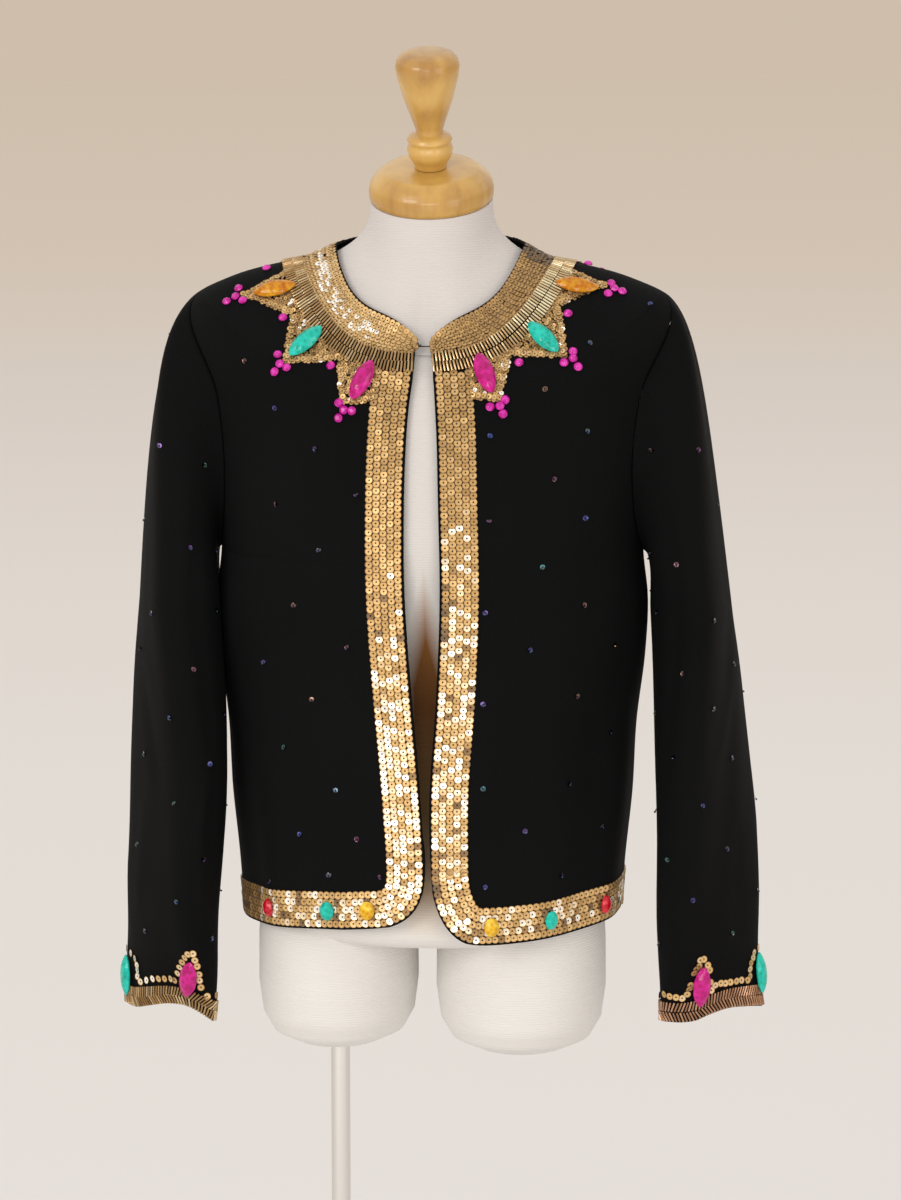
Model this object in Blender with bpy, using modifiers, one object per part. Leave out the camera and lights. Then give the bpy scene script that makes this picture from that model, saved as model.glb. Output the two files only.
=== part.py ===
"""A beaded knitted cardigan, hooked at the neck, on a limbless dress form.

Metres, +Z up. The front faces -Y, and the origin is the middle of the foot's underside.
The cloth is worked out from rings: a ring is one level of the body or of a sleeve.
On the body, theta is the angle round a ring from the middle of the front towards +X.
"""
import math
from collections import namedtuple

import bmesh
import bpy
import numpy as np
from mathutils import Matrix, Vector
from mathutils.bvhtree import BVHTree

COLLECTION = "beaded_cardigan"

# Cloth and trim thicknesses, the gaps between pieces, and the step that slopes are measured over
WALL = 0.0018
GAP = 0.0003
NUDGE = 0.001
BAND_THICK = 0.0012
BUGLE_THICK = 0.0014
YOKE_SKIM = 0.0005
YOKE_CLEAR = 0.0004
CLEAR_PASSES = 4
YOKE_MARGIN = 0.0009

# Levels of the body: below the armpit a level is a height
ARMPIT = 1.105
ARMHOLE_TOP = 1.317
SHOULDER = 1.305
OUTER_YOKE = 1.345
FRONT_BAND_TOP = 1.3855
YOKE_EDGE = 1.388
BAND_EDGE = 1.408
NECK = 1.440

Ring = namedtuple("Ring", "level z_front z_side z_back half_width front back tip power back_power middle")
BODY_RINGS = (
    Ring(0.780, 0.780, 0.780, 0.780, 0.1595, 0.1205, 0.1065, 0.0, 2.0, 2.0, 0.0),
    Ring(0.845, 0.845, 0.845, 0.845, 0.1640, 0.1180, 0.1040, 0.0, 2.0, 2.0, 0.0),
    Ring(0.900, 0.900, 0.900, 0.900, 0.1695, 0.1165, 0.1020, 0.0, 2.0, 2.0, 0.0),
    Ring(0.960, 0.960, 0.960, 0.960, 0.1725, 0.1165, 0.1000, 0.0, 2.0, 2.0, 0.0),
    Ring(1.020, 1.020, 1.020, 1.020, 0.1795, 0.1200, 0.1000, 0.0, 2.0, 2.0, 0.0),
    Ring(1.065, 1.065, 1.065, 1.065, 0.1812, 0.1240, 0.1010, 0.0, 2.0, 2.0, 0.0),
    Ring(ARMPIT, 1.105, 1.105, 1.105, 0.1770, 0.1255, 0.1020, 0.0, 2.0, 2.0, 0.0),
    Ring(1.165, 1.160, 1.167, 1.165, 0.1790, 0.1225, 0.1010, 0.0, 2.0, 2.0, 0.0),
    Ring(1.230, 1.205, 1.240, 1.222, 0.1870, 0.1130, 0.0965, 0.0, 2.0, 2.0, 0.0),
    Ring(SHOULDER, 1.236, 1.312, 1.268, 0.2010, 0.1045, 0.0890, 0.0, 2.2, 2.0, 0.0),
    Ring(OUTER_YOKE, 1.247, 1.331, 1.290, 0.1660, 0.1010, 0.0835, 0.0, 2.6, 2.0, -0.0008),
    Ring(YOKE_EDGE, 1.2607, 1.343, 1.311, 0.1221, 0.0985, 0.0785, 0.0, 3.15, 2.0, -0.0017),
    Ring(BAND_EDGE, 1.2755, 1.3465, 1.3320, 0.1045, 0.0925, 0.0715, 0.0, 2.97, 2.5, -0.0023),
    Ring(NECK, 1.2746, 1.3585, 1.3655, 0.0783, 0.0870, 0.0590, 0.427, 4.88, 4.0, -0.0008),
)
NECK_TIP_WIDTH = 0.238
NECK_TIP_PLACE = 0.035

# Where the two front edges lie, as x at each level
Edge = namedtuple("Edge", "level left right")
OPENING = (
    Edge(0.780, 0.0045, 0.0100),
    Edge(0.860, 0.0045, 0.0085),
    Edge(0.913, 0.0011, 0.0084),
    Edge(1.000, -0.0061, 0.0142),
    Edge(1.080, -0.0109, 0.0175),
    Edge(1.165, -0.0115, 0.0159),
    Edge(SHOULDER, -0.0088, 0.0118),
    Edge(YOKE_EDGE, -0.0060, 0.0098),
    Edge(NECK, -0.0040, 0.0083),
)

# Height of the hem round the body, by angle in degrees
Hem = namedtuple("Hem", "angle height")
HEM_LINE = (
    Hem(-180, 0.7975),
    Hem(-90, 0.7918),
    Hem(-55, 0.7942),
    Hem(-25, 0.8008),
    Hem(-6, 0.8030),
    Hem(6, 0.7925),
    Hem(20, 0.7910),
    Hem(45, 0.7940),
    Hem(90, 0.8022),
    Hem(180, 0.7975),
)
CORNER_WIDTH = 0.040
CORNER_HEIGHT = 0.054
HEM_JOIN = 0.085

# Soft vertical folds of the body: depth is outward where positive
Fold = namedtuple("Fold", "angle spread depth low high")
BODY_FOLDS = (
    Fold(-64, 9, -0.0030, 0.80, 1.04),
    Fold(-47, 9, 0.0030, 0.80, 1.10),
    Fold(38, 8, 0.0025, 0.80, 1.06),
    Fold(54, 8, -0.0025, 0.80, 1.02),
    Fold(70, 8, 0.0030, 0.80, 1.00),
    Fold(128, 10, 0.0035, 0.80, 1.08),
    Fold(148, 9, -0.0030, 0.80, 1.04),
    Fold(172, 10, 0.0030, 0.80, 1.12),
    Fold(-150, 9, -0.0030, 0.80, 1.05),
    Fold(-130, 10, 0.0035, 0.80, 1.09),
)
FOLD_FADE = 0.07

# Panel rows and columns
HEM_ROWS = (0.0, 0.002, 0.016, 0.030, 0.056, HEM_JOIN)
BODY_ROWS = (0.925, 0.965, 1.005, 1.045, 1.078)
NECK_ROWS = (1.331, OUTER_YOKE, 1.366, FRONT_BAND_TOP, 0.5 * (YOKE_EDGE + BAND_EDGE), BAND_EDGE,
             1.424, 1.4375, NECK)
EDGE_COLUMNS = (0.0, 0.0018, 0.0070, 0.0133, 0.0208, 0.0287)
FRONT_COLUMNS = 8
END_DENSITY = 0.35
BACK_COLUMNS = 18
ARMHOLE_STEPS = 9
ARMHOLE_SPREAD = math.radians(22)
SEAM_ANGLE = 0.0021

# Sleeves: each side has its own hang; x is the distance from the middle
SleeveRing = namedtuple("SleeveRing", "z x y long short yaw")
SLEEVES = {
    -1: (
        SleeveRing(0.690, 0.2240, -0.019, 0.045, 0.0180, 60),
        SleeveRing(0.735, 0.2218, -0.020, 0.0515, 0.0225, 52),
        SleeveRing(0.800, 0.2190, -0.022, 0.0585, 0.0295, 38),
        SleeveRing(0.860, 0.2140, -0.024, 0.063, 0.0325, 32),
        SleeveRing(0.930, 0.2110, -0.024, 0.065, 0.0340, 29),
        SleeveRing(1.015, 0.2100, -0.018, 0.067, 0.0350, 19),
        SleeveRing(1.060, 0.2095, -0.012, 0.068, 0.0350, 12),
    ),
    1: (
        SleeveRing(0.690, 0.2400, -0.006, 0.0455, 0.0185, 68),
        SleeveRing(0.735, 0.2364, -0.006, 0.048, 0.0210, 56),
        SleeveRing(0.800, 0.2333, -0.006, 0.055, 0.0265, 42),
        SleeveRing(0.870, 0.2310, -0.006, 0.060, 0.0300, 30),
        SleeveRing(0.940, 0.2260, -0.004, 0.065, 0.0330, 18),
        SleeveRing(1.020, 0.2205, 0.000, 0.067, 0.0340, 8),
        SleeveRing(1.060, 0.2170, 0.000, 0.068, 0.0340, 2),
    ),
}
SLEEVE_FOLDS = {
    -1: (
        Fold(38, 17, 0.0040, 0.74, 1.16),
        Fold(-10, 16, -0.0035, 0.80, 1.18),
        Fold(118, 18, 0.0035, 0.80, 1.15),
        Fold(160, 17, -0.0030, 0.78, 1.12),
        Fold(-130, 18, 0.0030, 0.76, 1.02),
    ),
    1: (
        Fold(30, 17, 0.0040, 0.74, 1.17),
        Fold(-12, 15, -0.0040, 0.92, 1.20),
        Fold(75, 17, -0.0030, 0.80, 1.10),
        Fold(135, 18, 0.0035, 0.78, 1.14),
        Fold(-120, 18, 0.0030, 0.76, 1.00),
    ),
}
SLEEVE_TOP_RING = 1.060
CAP_STEPS = (0.0, 0.10, 0.24, 0.42, 0.60, 0.80)
SLEEVE_ROWS = (1.060, 1.020, 0.980, 0.940, 0.900, 0.860, 0.820, 0.780, 0.750)
CUFF_BAND = 0.020
CUFF_EDGE = {-1: 0.7015, 1: 0.7085}

# Height of each cuff's edge round the sleeve, by angle in degrees
CuffPlace = namedtuple("CuffPlace", "angle height")
CUFF_LINES = {
    -1: (
        CuffPlace(-180, 0.7050),
        CuffPlace(-150, 0.7024),
        CuffPlace(-120, 0.7054),
        CuffPlace(-96, 0.7072),
        CuffPlace(-72, 0.7059),
        CuffPlace(-48, 0.7014),
        CuffPlace(-24, 0.7011),
        CuffPlace(0, 0.7043),
        CuffPlace(24, 0.7110),
        CuffPlace(48, 0.7174),
        CuffPlace(72, 0.7176),
        CuffPlace(96, 0.7128),
        CuffPlace(120, 0.7079),
        CuffPlace(144, 0.7079),
        CuffPlace(180, 0.7050),
    ),
    1: (
        CuffPlace(-180, 0.7118),
        CuffPlace(-156, 0.7117),
        CuffPlace(-132, 0.7103),
        CuffPlace(-108, 0.7075),
        CuffPlace(-84, 0.7037),
        CuffPlace(-48, 0.7046),
        CuffPlace(-12, 0.7070),
        CuffPlace(24, 0.7085),
        CuffPlace(48, 0.7088),
        CuffPlace(60, 0.7100),
        CuffPlace(72, 0.7137),
        CuffPlace(96, 0.7184),
        CuffPlace(120, 0.7176),
        CuffPlace(156, 0.7139),
        CuffPlace(180, 0.7118),
    ),
}
CUFF_FADE = 0.10
START_SLOPE = (0.87, 0.0, -0.50)
CAP_PULL_LOW = 0.010
CAP_LIFT_LOW = 0.018
CapPull = namedtuple("CapPull", "start inward lift")
CAP_PULLS = {-1: CapPull(0.036, 0.008, 0.107), 1: CapPull(0.020, 0.016, 0.107)}
SLEEVE_START = 0.0006
BODY_CLEAR = 0.0032

# Star points: each one's foot and base along the yoke's edge, then its tip and its near flank's start
StarPoint = namedtuple("StarPoint", "place near far tip_out tip_along near_out near_along")
FRONT_STARS = {
    -1: (
        StarPoint(0.040, 0.0103, 0.0268, 0.0360, 0.0081, 0.0265, -0.0150),
        StarPoint(0.090, 0.0302, 0.0426, 0.0354, 0.0015, 0.0, -0.0302),
        StarPoint(0.150, 0.0379, 0.0182, 0.0395, 0.0093, 0.0, -0.0379),
    ),
    1: (
        StarPoint(0.040, 0.0099, 0.0283, 0.0337, 0.0024, 0.0243, -0.0172),
        StarPoint(0.090, 0.0289, 0.0433, 0.0362, 0.0016, 0.0, -0.0289),
        StarPoint(0.150, 0.0325, 0.0157, 0.0310, 0.0115, 0.0, -0.0325),
    ),
}
BACK_STARS = (
    StarPoint(0.040, 0.0370, 0.0270, 0.0350, 0.0000, 0.0, -0.0370),
    StarPoint(0.089, 0.0270, 0.0270, 0.0350, 0.0000, 0.0, -0.0270),
    StarPoint(0.137, 0.0270, 0.0255, 0.0350, 0.0000, 0.0, -0.0270),
)
STAR_HAIR = 0.0004
STAR_START = 1 - 1e-6
NEAR_ENOUGH = 0.9
YOKE_STEP = 0.0095

# Stones: the long yoke and cuff stones, and the small hem stones
Stone = namedtuple("Stone", "length width height corners pointed")
YOKE_STONE = Stone(0.0355, 0.016, 0.0055, 10, 0.35)
HEM_STONE = Stone(0.0160, 0.0130, 0.0045, 8, 0.0)
STONE_BEARING = 0.35
StonePlace = namedtuple("StonePlace", "place out lean")
YOKE_STONES = {
    -1: (StonePlace(0.0381, 0.0124, 10), StonePlace(0.0933, 0.0114, -6), StonePlace(0.1508, 0.0117, 13)),
    1: (StonePlace(0.0394, 0.0085, -2), StonePlace(0.0926, 0.0118, -11), StonePlace(0.1485, 0.0098, 16)),
}
BACK_STONE_OUT = 0.0115
HEM_STONE_LEVEL = 0.812
HEM_STONE_RISE = 0.0155
HEM_STONE_X = (-0.1280, -0.0765, -0.0425, 0.0585, 0.1045, 0.1465)
CuffStone = namedtuple("CuffStone", "angle rise lean")
CUFF_STONES = {
    -1: (CuffStone(42, 0.0320, 15), CuffStone(134, 0.0275, 0), CuffStone(-82, 0.0265, 0)),
    1: (CuffStone(63, 0.0305, 2), CuffStone(147, 0.0295, 0), CuffStone(-80, 0.0270, 0)),
}

# Dress form: how far it lies inside the cloth, then its pelvis, thighs and neck
Inset = namedtuple("Inset", "level front side back")
FORM_INSETS = (
    Inset(0.797, 0.015, 0.0140, 0.0100),
    Inset(0.860, 0.018, 0.0120, 0.0060),
    Inset(0.930, 0.027, 0.0240, 0.0200),
    Inset(1.000, 0.028, 0.0380, 0.0280),
    Inset(1.060, 0.016, 0.0300, 0.0200),
    Inset(ARMPIT, 0.007, 0.0180, 0.0120),
    Inset(1.165, 0.0055, 0.0140, 0.0080),
    Inset(1.230, 0.0050, 0.0110, 0.0065),
    Inset(1.290, 0.0050, 0.0060, 0.0060),
    Inset(ARMHOLE_TOP, 0.0050, 0.0044, 0.0050),
    Inset(OUTER_YOKE, 0.0055, 0.0030, 0.0050),
    Inset(BAND_EDGE, 0.0080, 0.0049, 0.0070),
    Inset(NECK, 0.0085, 0.0060, 0.0080),
)
FORM_LEVELS = (0.797, 0.840, 0.890, 0.940, 0.990, 1.040, ARMPIT, 1.150, 1.193, 1.229,
               1.264, 1.292, 1.306, ARMHOLE_TOP, OUTER_YOKE, YOKE_EDGE, BAND_EDGE, NECK)
FORM_COLUMNS = 28
PELVIS = ((0.776, 0.35), (0.778, 0.70), (0.783, 0.90), (0.790, 0.975))
Thigh = namedtuple("Thigh", "x half_width bottom")
THIGHS = {"thigh_left": Thigh(-0.0800, 0.0680, 0.6800), "thigh_right": Thigh(0.0760, 0.0720, 0.6770)}
THIGH_TOP = 0.815
THIGH_DEPTH = 0.082
THIGH_SECTIONS = ((0.0, 0.30), (0.004, 0.58), (0.013, 0.83), (0.028, 0.95), (0.055, 1.0), (0.095, 0.995))
THIGH_COLUMNS = 20
PLATE_CENTRE = Vector((0.001, -0.012, 1.3965))
PLATE_RADIUS = 0.0505
PLATE_TILT = math.radians(19)
NECK_STEPS = (0.12, 0.28, 0.46, 0.70, 1.0)

# Turned wood, as radius and height above the neck plate, from the top down
TURNED_STEPS = 20
CAP_PROFILE = ((0.0, 0.0265), (0.0300, 0.0262), (0.0395, 0.0250), (0.0410, 0.0235), (0.0465, 0.0195),
               (0.0502, 0.0140), (0.0515, 0.0080), (0.0512, 0.0025), (0.0495, 0.0), (0.0, 0.0))
FINIAL_PROFILE = ((0.0, 0.1250), (0.0150, 0.1246), (0.0215, 0.1225), (0.0250, 0.1185), (0.0262, 0.1130),
                  (0.0250, 0.1040), (0.0200, 0.0850), (0.0145, 0.0690), (0.0112, 0.0590), (0.0112, 0.0560),
                  (0.0170, 0.0535), (0.0185, 0.0505), (0.0172, 0.0475), (0.0188, 0.0430), (0.0178, 0.0370),
                  (0.0140, 0.0305), (0.0130, 0.0265), (0.0, 0.0265))

# Pole and foot
POLE_X = -0.0797
POLE_Y = 0.004
POLE_RADIUS = 0.0082
FOOT_RADIUS = 0.180
FOOT_THICK = 0.008

# Hook and eye, in round wire
WIRE = 0.0005
EYE_RADIUS = 0.0030
EYE_STEPS = 10
HOOK_LEVEL = 1.428
HOOK_CLEAR = 0.0004
SEAT_PASSES = 6
NECK_BEND = 0.05

COLOURS = {
    "knit": ((0.008, 0.008, 0.009), 0.9, 0.0),
    "gold": ((0.55, 0.37, 0.14), 0.35, 1.0),
    "bronze": ((0.24, 0.15, 0.06), 0.3, 1.0),
    "wire": ((0.02, 0.02, 0.02), 0.4, 1.0),
    "amber": ((0.85, 0.28, 0.01), 0.15, 0.0),
    "teal": ((0.01, 0.42, 0.32), 0.15, 0.0),
    "magenta": ((0.58, 0.01, 0.22), 0.15, 0.0),
    "yellow": ((0.75, 0.42, 0.02), 0.15, 0.0),
    "red": ((0.55, 0.01, 0.02), 0.15, 0.0),
    "canvas": ((0.74, 0.70, 0.65), 0.85, 0.0),
    "wood": ((0.60, 0.34, 0.13), 0.3, 0.0),
    "steel": ((0.60, 0.60, 0.60), 0.15, 1.0),
}


def clear_scene():
    for thing in list(bpy.data.objects):
        bpy.data.objects.remove(thing, do_unlink=True)


def new_collection(name):
    collection = bpy.data.collections.new(name)
    bpy.context.scene.collection.children.link(collection)
    return collection


def material(name):
    found = bpy.data.materials.get(name)
    if found:
        return found
    colour, roughness, metallic = COLOURS[name]
    made = bpy.data.materials.new(name)
    made.use_nodes = True
    shader = made.node_tree.nodes["Principled BSDF"]
    shader.inputs["Base Color"].default_value = (*colour, 1.0)
    shader.inputs["Roughness"].default_value = roughness
    shader.inputs["Metallic"].default_value = metallic
    made.diffuse_color = (*colour, 1.0)
    return made


def add_object(name, data, finish, collection):
    thing = bpy.data.objects.new(name, data)
    collection.objects.link(thing)
    data.materials.append(material(finish))
    return thing


def curve_through(table, where):
    """Smooth values of a table's later columns at one value of its first column."""
    rows = np.array(table, float)
    keys = rows[:, 0]
    values = rows[:, 1:]
    slopes = np.gradient(values, keys, axis=0)
    where = min(max(where, keys[0]), keys[-1])
    low = min(int(np.searchsorted(keys, where, side="right")) - 1, len(keys) - 2)
    span = keys[low + 1] - keys[low]
    t = (where - keys[low]) / span
    ease = t * t * (3 - 2 * t)
    start = t * (1 - t) ** 2 * span
    end = t * t * (t - 1) * span
    return (values[low] * (1 - ease) + values[low + 1] * ease
            + slopes[low] * start + slopes[low + 1] * end)


def fold_swell(folds, angle, height):
    """How far the folds push the cloth out at an angle in degrees and a height."""
    total = 0.0
    for fold in folds:
        away = (angle - fold.angle + 180) % 360 - 180
        up = min(1.0, max(0.0, (fold.high - height) / FOLD_FADE))
        down = min(1.0, max(0.0, (height - fold.low) / FOLD_FADE + 0.6))
        total += fold.depth * math.exp(-(away / fold.spread) ** 2) * up * down
    return total


def neck_rise(s):
    """How far the neckline has risen from its low point: 0 there, and 1 at either side."""
    side = math.copysign(1.0, s - NECK_TIP_PLACE)
    here, full = (1 - math.exp(-abs(end - NECK_TIP_PLACE) / NECK_TIP_WIDTH) for end in (s, side))
    return here / full


def cloth_point(theta, level, folded=True):
    """A point of the body's outer surface."""
    ring = Ring(level, *curve_through(BODY_RINGS, level))
    s = math.sin(theta)
    c = math.cos(theta)
    if c > 0:
        rise = ring.tip * neck_rise(s) + (1 - ring.tip) * abs(s) ** ring.power
        z = ring.z_front + (ring.z_side - ring.z_front) * rise
        y = -ring.front * c
    else:
        z = ring.z_back + (ring.z_side - ring.z_back) * abs(s) ** ring.back_power
        y = -ring.back * c
    point = Vector((ring.middle + ring.half_width * s, y, z))
    if folded:
        flat = Vector((point.x, point.y, 0)).normalized()
        point += flat * fold_swell(BODY_FOLDS, math.degrees(theta), z)
    return point


def angle_at(side, x, level):
    """The angle, counted up from the front on one side, where the cloth has a distance x from x = 0."""
    ring = Ring(level, *curve_through(BODY_RINGS, level))
    return math.asin((x - ring.middle * side) / ring.half_width)


def cloth_normal(theta, level, folded=True):
    along = cloth_point(theta + NUDGE, level, folded) - cloth_point(theta - NUDGE, level, folded)
    low = cloth_point(theta, level - NUDGE, folded)
    high = cloth_point(theta, min(level + NUDGE, NECK), folded)
    return along.cross(high - low).normalized()


def grid_points(places, lift):
    """Body points for a grid of (theta, level) places, moved out along the cloth's normal."""
    return [[cloth_point(*place) + cloth_normal(*place) * lift for place in row] for row in places]


def slab(name, outer, inner, cells, finish, collection, wrap=False):
    """One closed solid between two grids of points, over the given (row, column) cells."""
    columns = len(outer[0])
    mesh = bpy.data.meshes.new(name)
    builder = bmesh.new()
    found = {}

    def vertex(side, row, column):
        key = (side, row, column % columns if wrap else column)
        if key not in found:
            grid = outer if side else inner
            found[key] = builder.verts.new(grid[key[1]][key[2]])
        return found[key]

    edges = {}
    for row, column in cells:
        corners = ((row, column), (row, column + 1), (row + 1, column + 1), (row + 1, column))
        a, b, c, d = (vertex(1, *corner) for corner in corners)
        builder.faces.new((a, b, c))
        builder.faces.new((a, c, d))
        e, f, g, h = (vertex(0, *corner) for corner in corners)
        builder.faces.new((e, g, f))
        builder.faces.new((e, h, g))
        for pair in (((a, b), (e, f)), ((b, c), (f, g)), ((c, d), (g, h)), ((d, a), (h, e))):
            edges[pair[0]] = pair[1]
    for (start, end), (below_start, below_end) in edges.items():
        if (end, start) not in edges:
            builder.faces.new((end, start, below_start))
            builder.faces.new((end, below_start, below_end))
    builder.to_mesh(mesh)
    builder.free()
    return add_object(name, mesh, finish, collection)


def all_cells(grid, wrap=False):
    columns = len(grid[0]) if wrap else len(grid[0]) - 1
    return [(row, column) for row in range(len(grid) - 1) for column in range(columns)]


def loft(name, rings, finish, collection):
    """A closed solid through rings of points, from the lowest ring up."""
    mesh = bpy.data.meshes.new(name)
    builder = bmesh.new()
    rows = [[builder.verts.new(point) for point in ring] for ring in rings]
    count = len(rows[0])
    for lower, upper in zip(rows, rows[1:]):
        for i in range(count):
            j = (i + 1) % count
            builder.faces.new((lower[i], lower[j], upper[j]))
            builder.faces.new((lower[i], upper[j], upper[i]))
    for row, turn in ((rows[0], -1), (rows[-1], 1)):
        middle = builder.verts.new(sum((vert.co for vert in row), Vector()) / count)
        for i in range(count):
            pair = (row[i], row[(i + 1) % count])[::turn]
            builder.faces.new((pair[0], pair[1], middle))
    builder.to_mesh(mesh)
    builder.free()
    return add_object(name, mesh, finish, collection)


def armhole_row(step):
    """The level of an armhole row, and how far the hole reaches to each side there."""
    turn = math.pi * step / ARMHOLE_STEPS
    level = ARMPIT + (ARMHOLE_TOP - ARMPIT) * (1 - math.cos(turn)) / 2
    return level, ARMHOLE_SPREAD * math.sin(turn)


def edge_x(side, level):
    left, right = curve_through(OPENING, level)
    return left if side < 0 else right


def hem_height(theta):
    return curve_through(HEM_LINE, math.degrees(theta))[0]


def corner_lift(distance):
    """How much higher the rounded front corner lies than the hem."""
    left = max(0.0, 1 - distance / CORNER_WIDTH)
    return CORNER_HEIGHT * (1 - math.sqrt(1 - left * left))


def body_rows():
    """Each row as its height above the hem, its level, and its armhole reach."""
    rows = [(height, None, 0.0) for height in HEM_ROWS]
    rows += [(None, level, 0.0) for level in BODY_ROWS]
    rows += [(None, *armhole_row(step)) for step in range(ARMHOLE_STEPS + 1)]
    rows += [(None, level, 0.0) for level in NECK_ROWS]
    return rows


def row_level(height, level, theta, distance):
    if height is None:
        return level
    hem = hem_height(theta)
    low = hem + corner_lift(distance)
    return low + height / HEM_JOIN * (hem + HEM_JOIN - low)


def end_dense(part):
    """Spaces columns closer together at both ends of a row."""
    return part - END_DENSITY * math.sin(2 * math.pi * part) / (2 * math.pi)


def front_places(side):
    """(theta, level) of each point of a front panel, with theta rising along a row."""
    places = []
    for height, level, reach in body_rows():
        guess = level if level is not None else hem_height(0.1 * side) + height
        edge = edge_x(side, guess) * side
        near = [angle_at(side, edge + offset, guess) for offset in EDGE_COLUMNS]
        far = math.pi / 2 - max(reach, SEAM_ANGLE)
        parts = [end_dense(step / FRONT_COLUMNS) for step in range(1, FRONT_COLUMNS + 1)]
        angles = near + [near[-1] + (far - near[-1]) * part for part in parts]
        distances = list(EDGE_COLUMNS) + [CORNER_WIDTH] * FRONT_COLUMNS
        row = [(side * angle, row_level(height, level, side * angle, distance))
               for angle, distance in zip(angles, distances)]
        places.append(row if side > 0 else row[::-1])
    return places


def back_places():
    places = []
    for height, level, reach in body_rows():
        start = math.pi / 2 + max(reach, SEAM_ANGLE)
        span = 2 * math.pi - 2 * start
        parts = [end_dense(step / BACK_COLUMNS) for step in range(BACK_COLUMNS + 1)]
        angles = [start + span * part for part in parts]
        wrapped = [angle if angle <= math.pi else angle - 2 * math.pi for angle in angles]
        places.append([(angle, row_level(height, level, around, CORNER_WIDTH))
                       for angle, around in zip(angles, wrapped)])
    return places


def panel(name, places, collection):
    outer = grid_points(places, 0.0)
    slab(name, outer, grid_points(places, -WALL), all_cells(outer), "knit", collection)
    return outer


def band(name, places, cells, finish, thick, collection):
    """A flat trim that lies on a panel and is made from the panel's own places."""
    slab(name, grid_points(places, GAP + thick), grid_points(places, GAP), cells, finish, collection)


def front_band_cells(side, places):
    """The cells down the front edge, round the corner and along the hem."""
    columns = len(places[0]) - 1
    top = len(places) - len(NECK_ROWS) + NECK_ROWS.index(FRONT_BAND_TOP)
    edge = range(1, len(EDGE_COLUMNS) - 1)
    cells = {(row, column) for row in range(1, top) for column in edge}
    cells |= {(row, column) for row in (1, 2) for column in range(1, columns)}
    return sorted(cells if side > 0 else {(row, columns - 1 - column) for row, column in cells})


def sleeve_ring(side, angle, z):
    """A point of a sleeve's ring on the +X side: angle 0 is the front, 90 the outer side."""
    x, y, long, short, yaw = curve_through(SLEEVES[side], z)
    turn = math.radians(yaw)
    a = math.radians(angle)
    swell = fold_swell(SLEEVE_FOLDS[side], angle, z)
    forward = (long + swell) * math.cos(a)
    outward = (short + swell) * math.sin(a)
    point = Vector((x - forward * math.sin(turn) + outward * math.cos(turn),
                    y - forward * math.cos(turn) - outward * math.sin(turn), z))
    return clear_of_body(point)


def clear_of_body(point):
    """Moves a sleeve point outward until it is clear of the body's side."""
    ring = Ring(point.z, *curve_through(BODY_RINGS, min(point.z, ARMPIT)))
    depth = (ring.front if point.y < 0 else ring.back) + BODY_CLEAR
    width = ring.half_width + BODY_CLEAR
    inside = 1 - (point.y / depth) ** 2
    least = width * math.sqrt(inside) if inside > 0 else 0.0
    return Vector((max(point.x, least), point.y, point.z))


def cuff_shift(side, angle, z):
    """How far a row near the cuff follows the cuff's uneven edge."""
    fade = max(0.0, 1 - (z - CUFF_EDGE[side]) / CUFF_FADE)
    around = (angle + 180) % 360 - 180
    return (curve_through(CUFF_LINES[side], around)[0] - CUFF_EDGE[side]) * fade


def armhole_loop(angle):
    """A point of the armhole on the +X side, for the sleeve angle that it is sewn to."""
    turn = math.radians(angle + 90)
    level = ARMPIT + (ARMHOLE_TOP - ARMPIT) * (1 - math.cos(turn)) / 2
    return cloth_point(math.pi / 2 - ARMHOLE_SPREAD * math.sin(turn), level)


def sleeve_cap_point(side, angle, t):
    """A point between the armhole and the sleeve's first full ring."""
    rise = (1 + math.sin(math.radians(angle))) / 2
    slope = Vector(START_SLOPE).normalized()
    start = armhole_loop(angle)
    if side < 0:
        mirrored = cloth_point(-math.pi / 2 + ARMHOLE_SPREAD * math.sin(math.radians(angle + 90)),
                               ARMPIT + (ARMHOLE_TOP - ARMPIT) * rise)
        start = Vector((-mirrored.x, mirrored.y, mirrored.z))
    start = start + slope * SLEEVE_START
    end = sleeve_ring(side, angle, SLEEVE_TOP_RING)
    pull = CAP_PULLS[side]
    first = start + slope * (CAP_PULL_LOW + pull.start * rise)
    last = end + Vector((-pull.inward * rise, 0.0, CAP_LIFT_LOW + pull.lift * rise))
    u = 1 - t
    return start * u ** 3 + first * (3 * u * u * t) + last * (3 * u * t * t) + end * t ** 3


def sleeve_grid(side):
    """Outer points of a sleeve on the +X side, from the cuff up to the armhole."""
    angles = [-90 + 180 * step / ARMHOLE_STEPS for step in range(2 * ARMHOLE_STEPS)]
    edge = CUFF_EDGE[side]
    heights = [edge, edge + 0.001, edge + CUFF_BAND] + list(SLEEVE_ROWS[::-1])
    rows = []
    for z in heights:
        row = []
        for angle in angles:
            point = sleeve_ring(side, angle, z)
            point.z += cuff_shift(side, angle, z)
            row.append(point)
        rows.append(row)
    for t in CAP_STEPS[::-1]:
        rows.append([sleeve_cap_point(side, angle, t) for angle in angles])
    return rows


def grid_normals(grid):
    """Outward normals of a closed tube's grid."""
    normals = []
    for i, row in enumerate(grid):
        below = grid[max(i - 1, 0)]
        above = grid[min(i + 1, len(grid) - 1)]
        line = []
        for j in range(len(row)):
            along = row[(j + 1) % len(row)] - row[j - 1]
            line.append(along.cross(above[j] - below[j]).normalized())
        normals.append(line)
    return normals


def moved_out(grid, normals, lift):
    return [[point + normal * lift for point, normal in zip(row, line)]
            for row, line in zip(grid, normals)]


def mirrored_grid(grid):
    return [[Vector((-point.x, point.y, point.z)) for point in row[::-1]] for row in grid]


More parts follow.
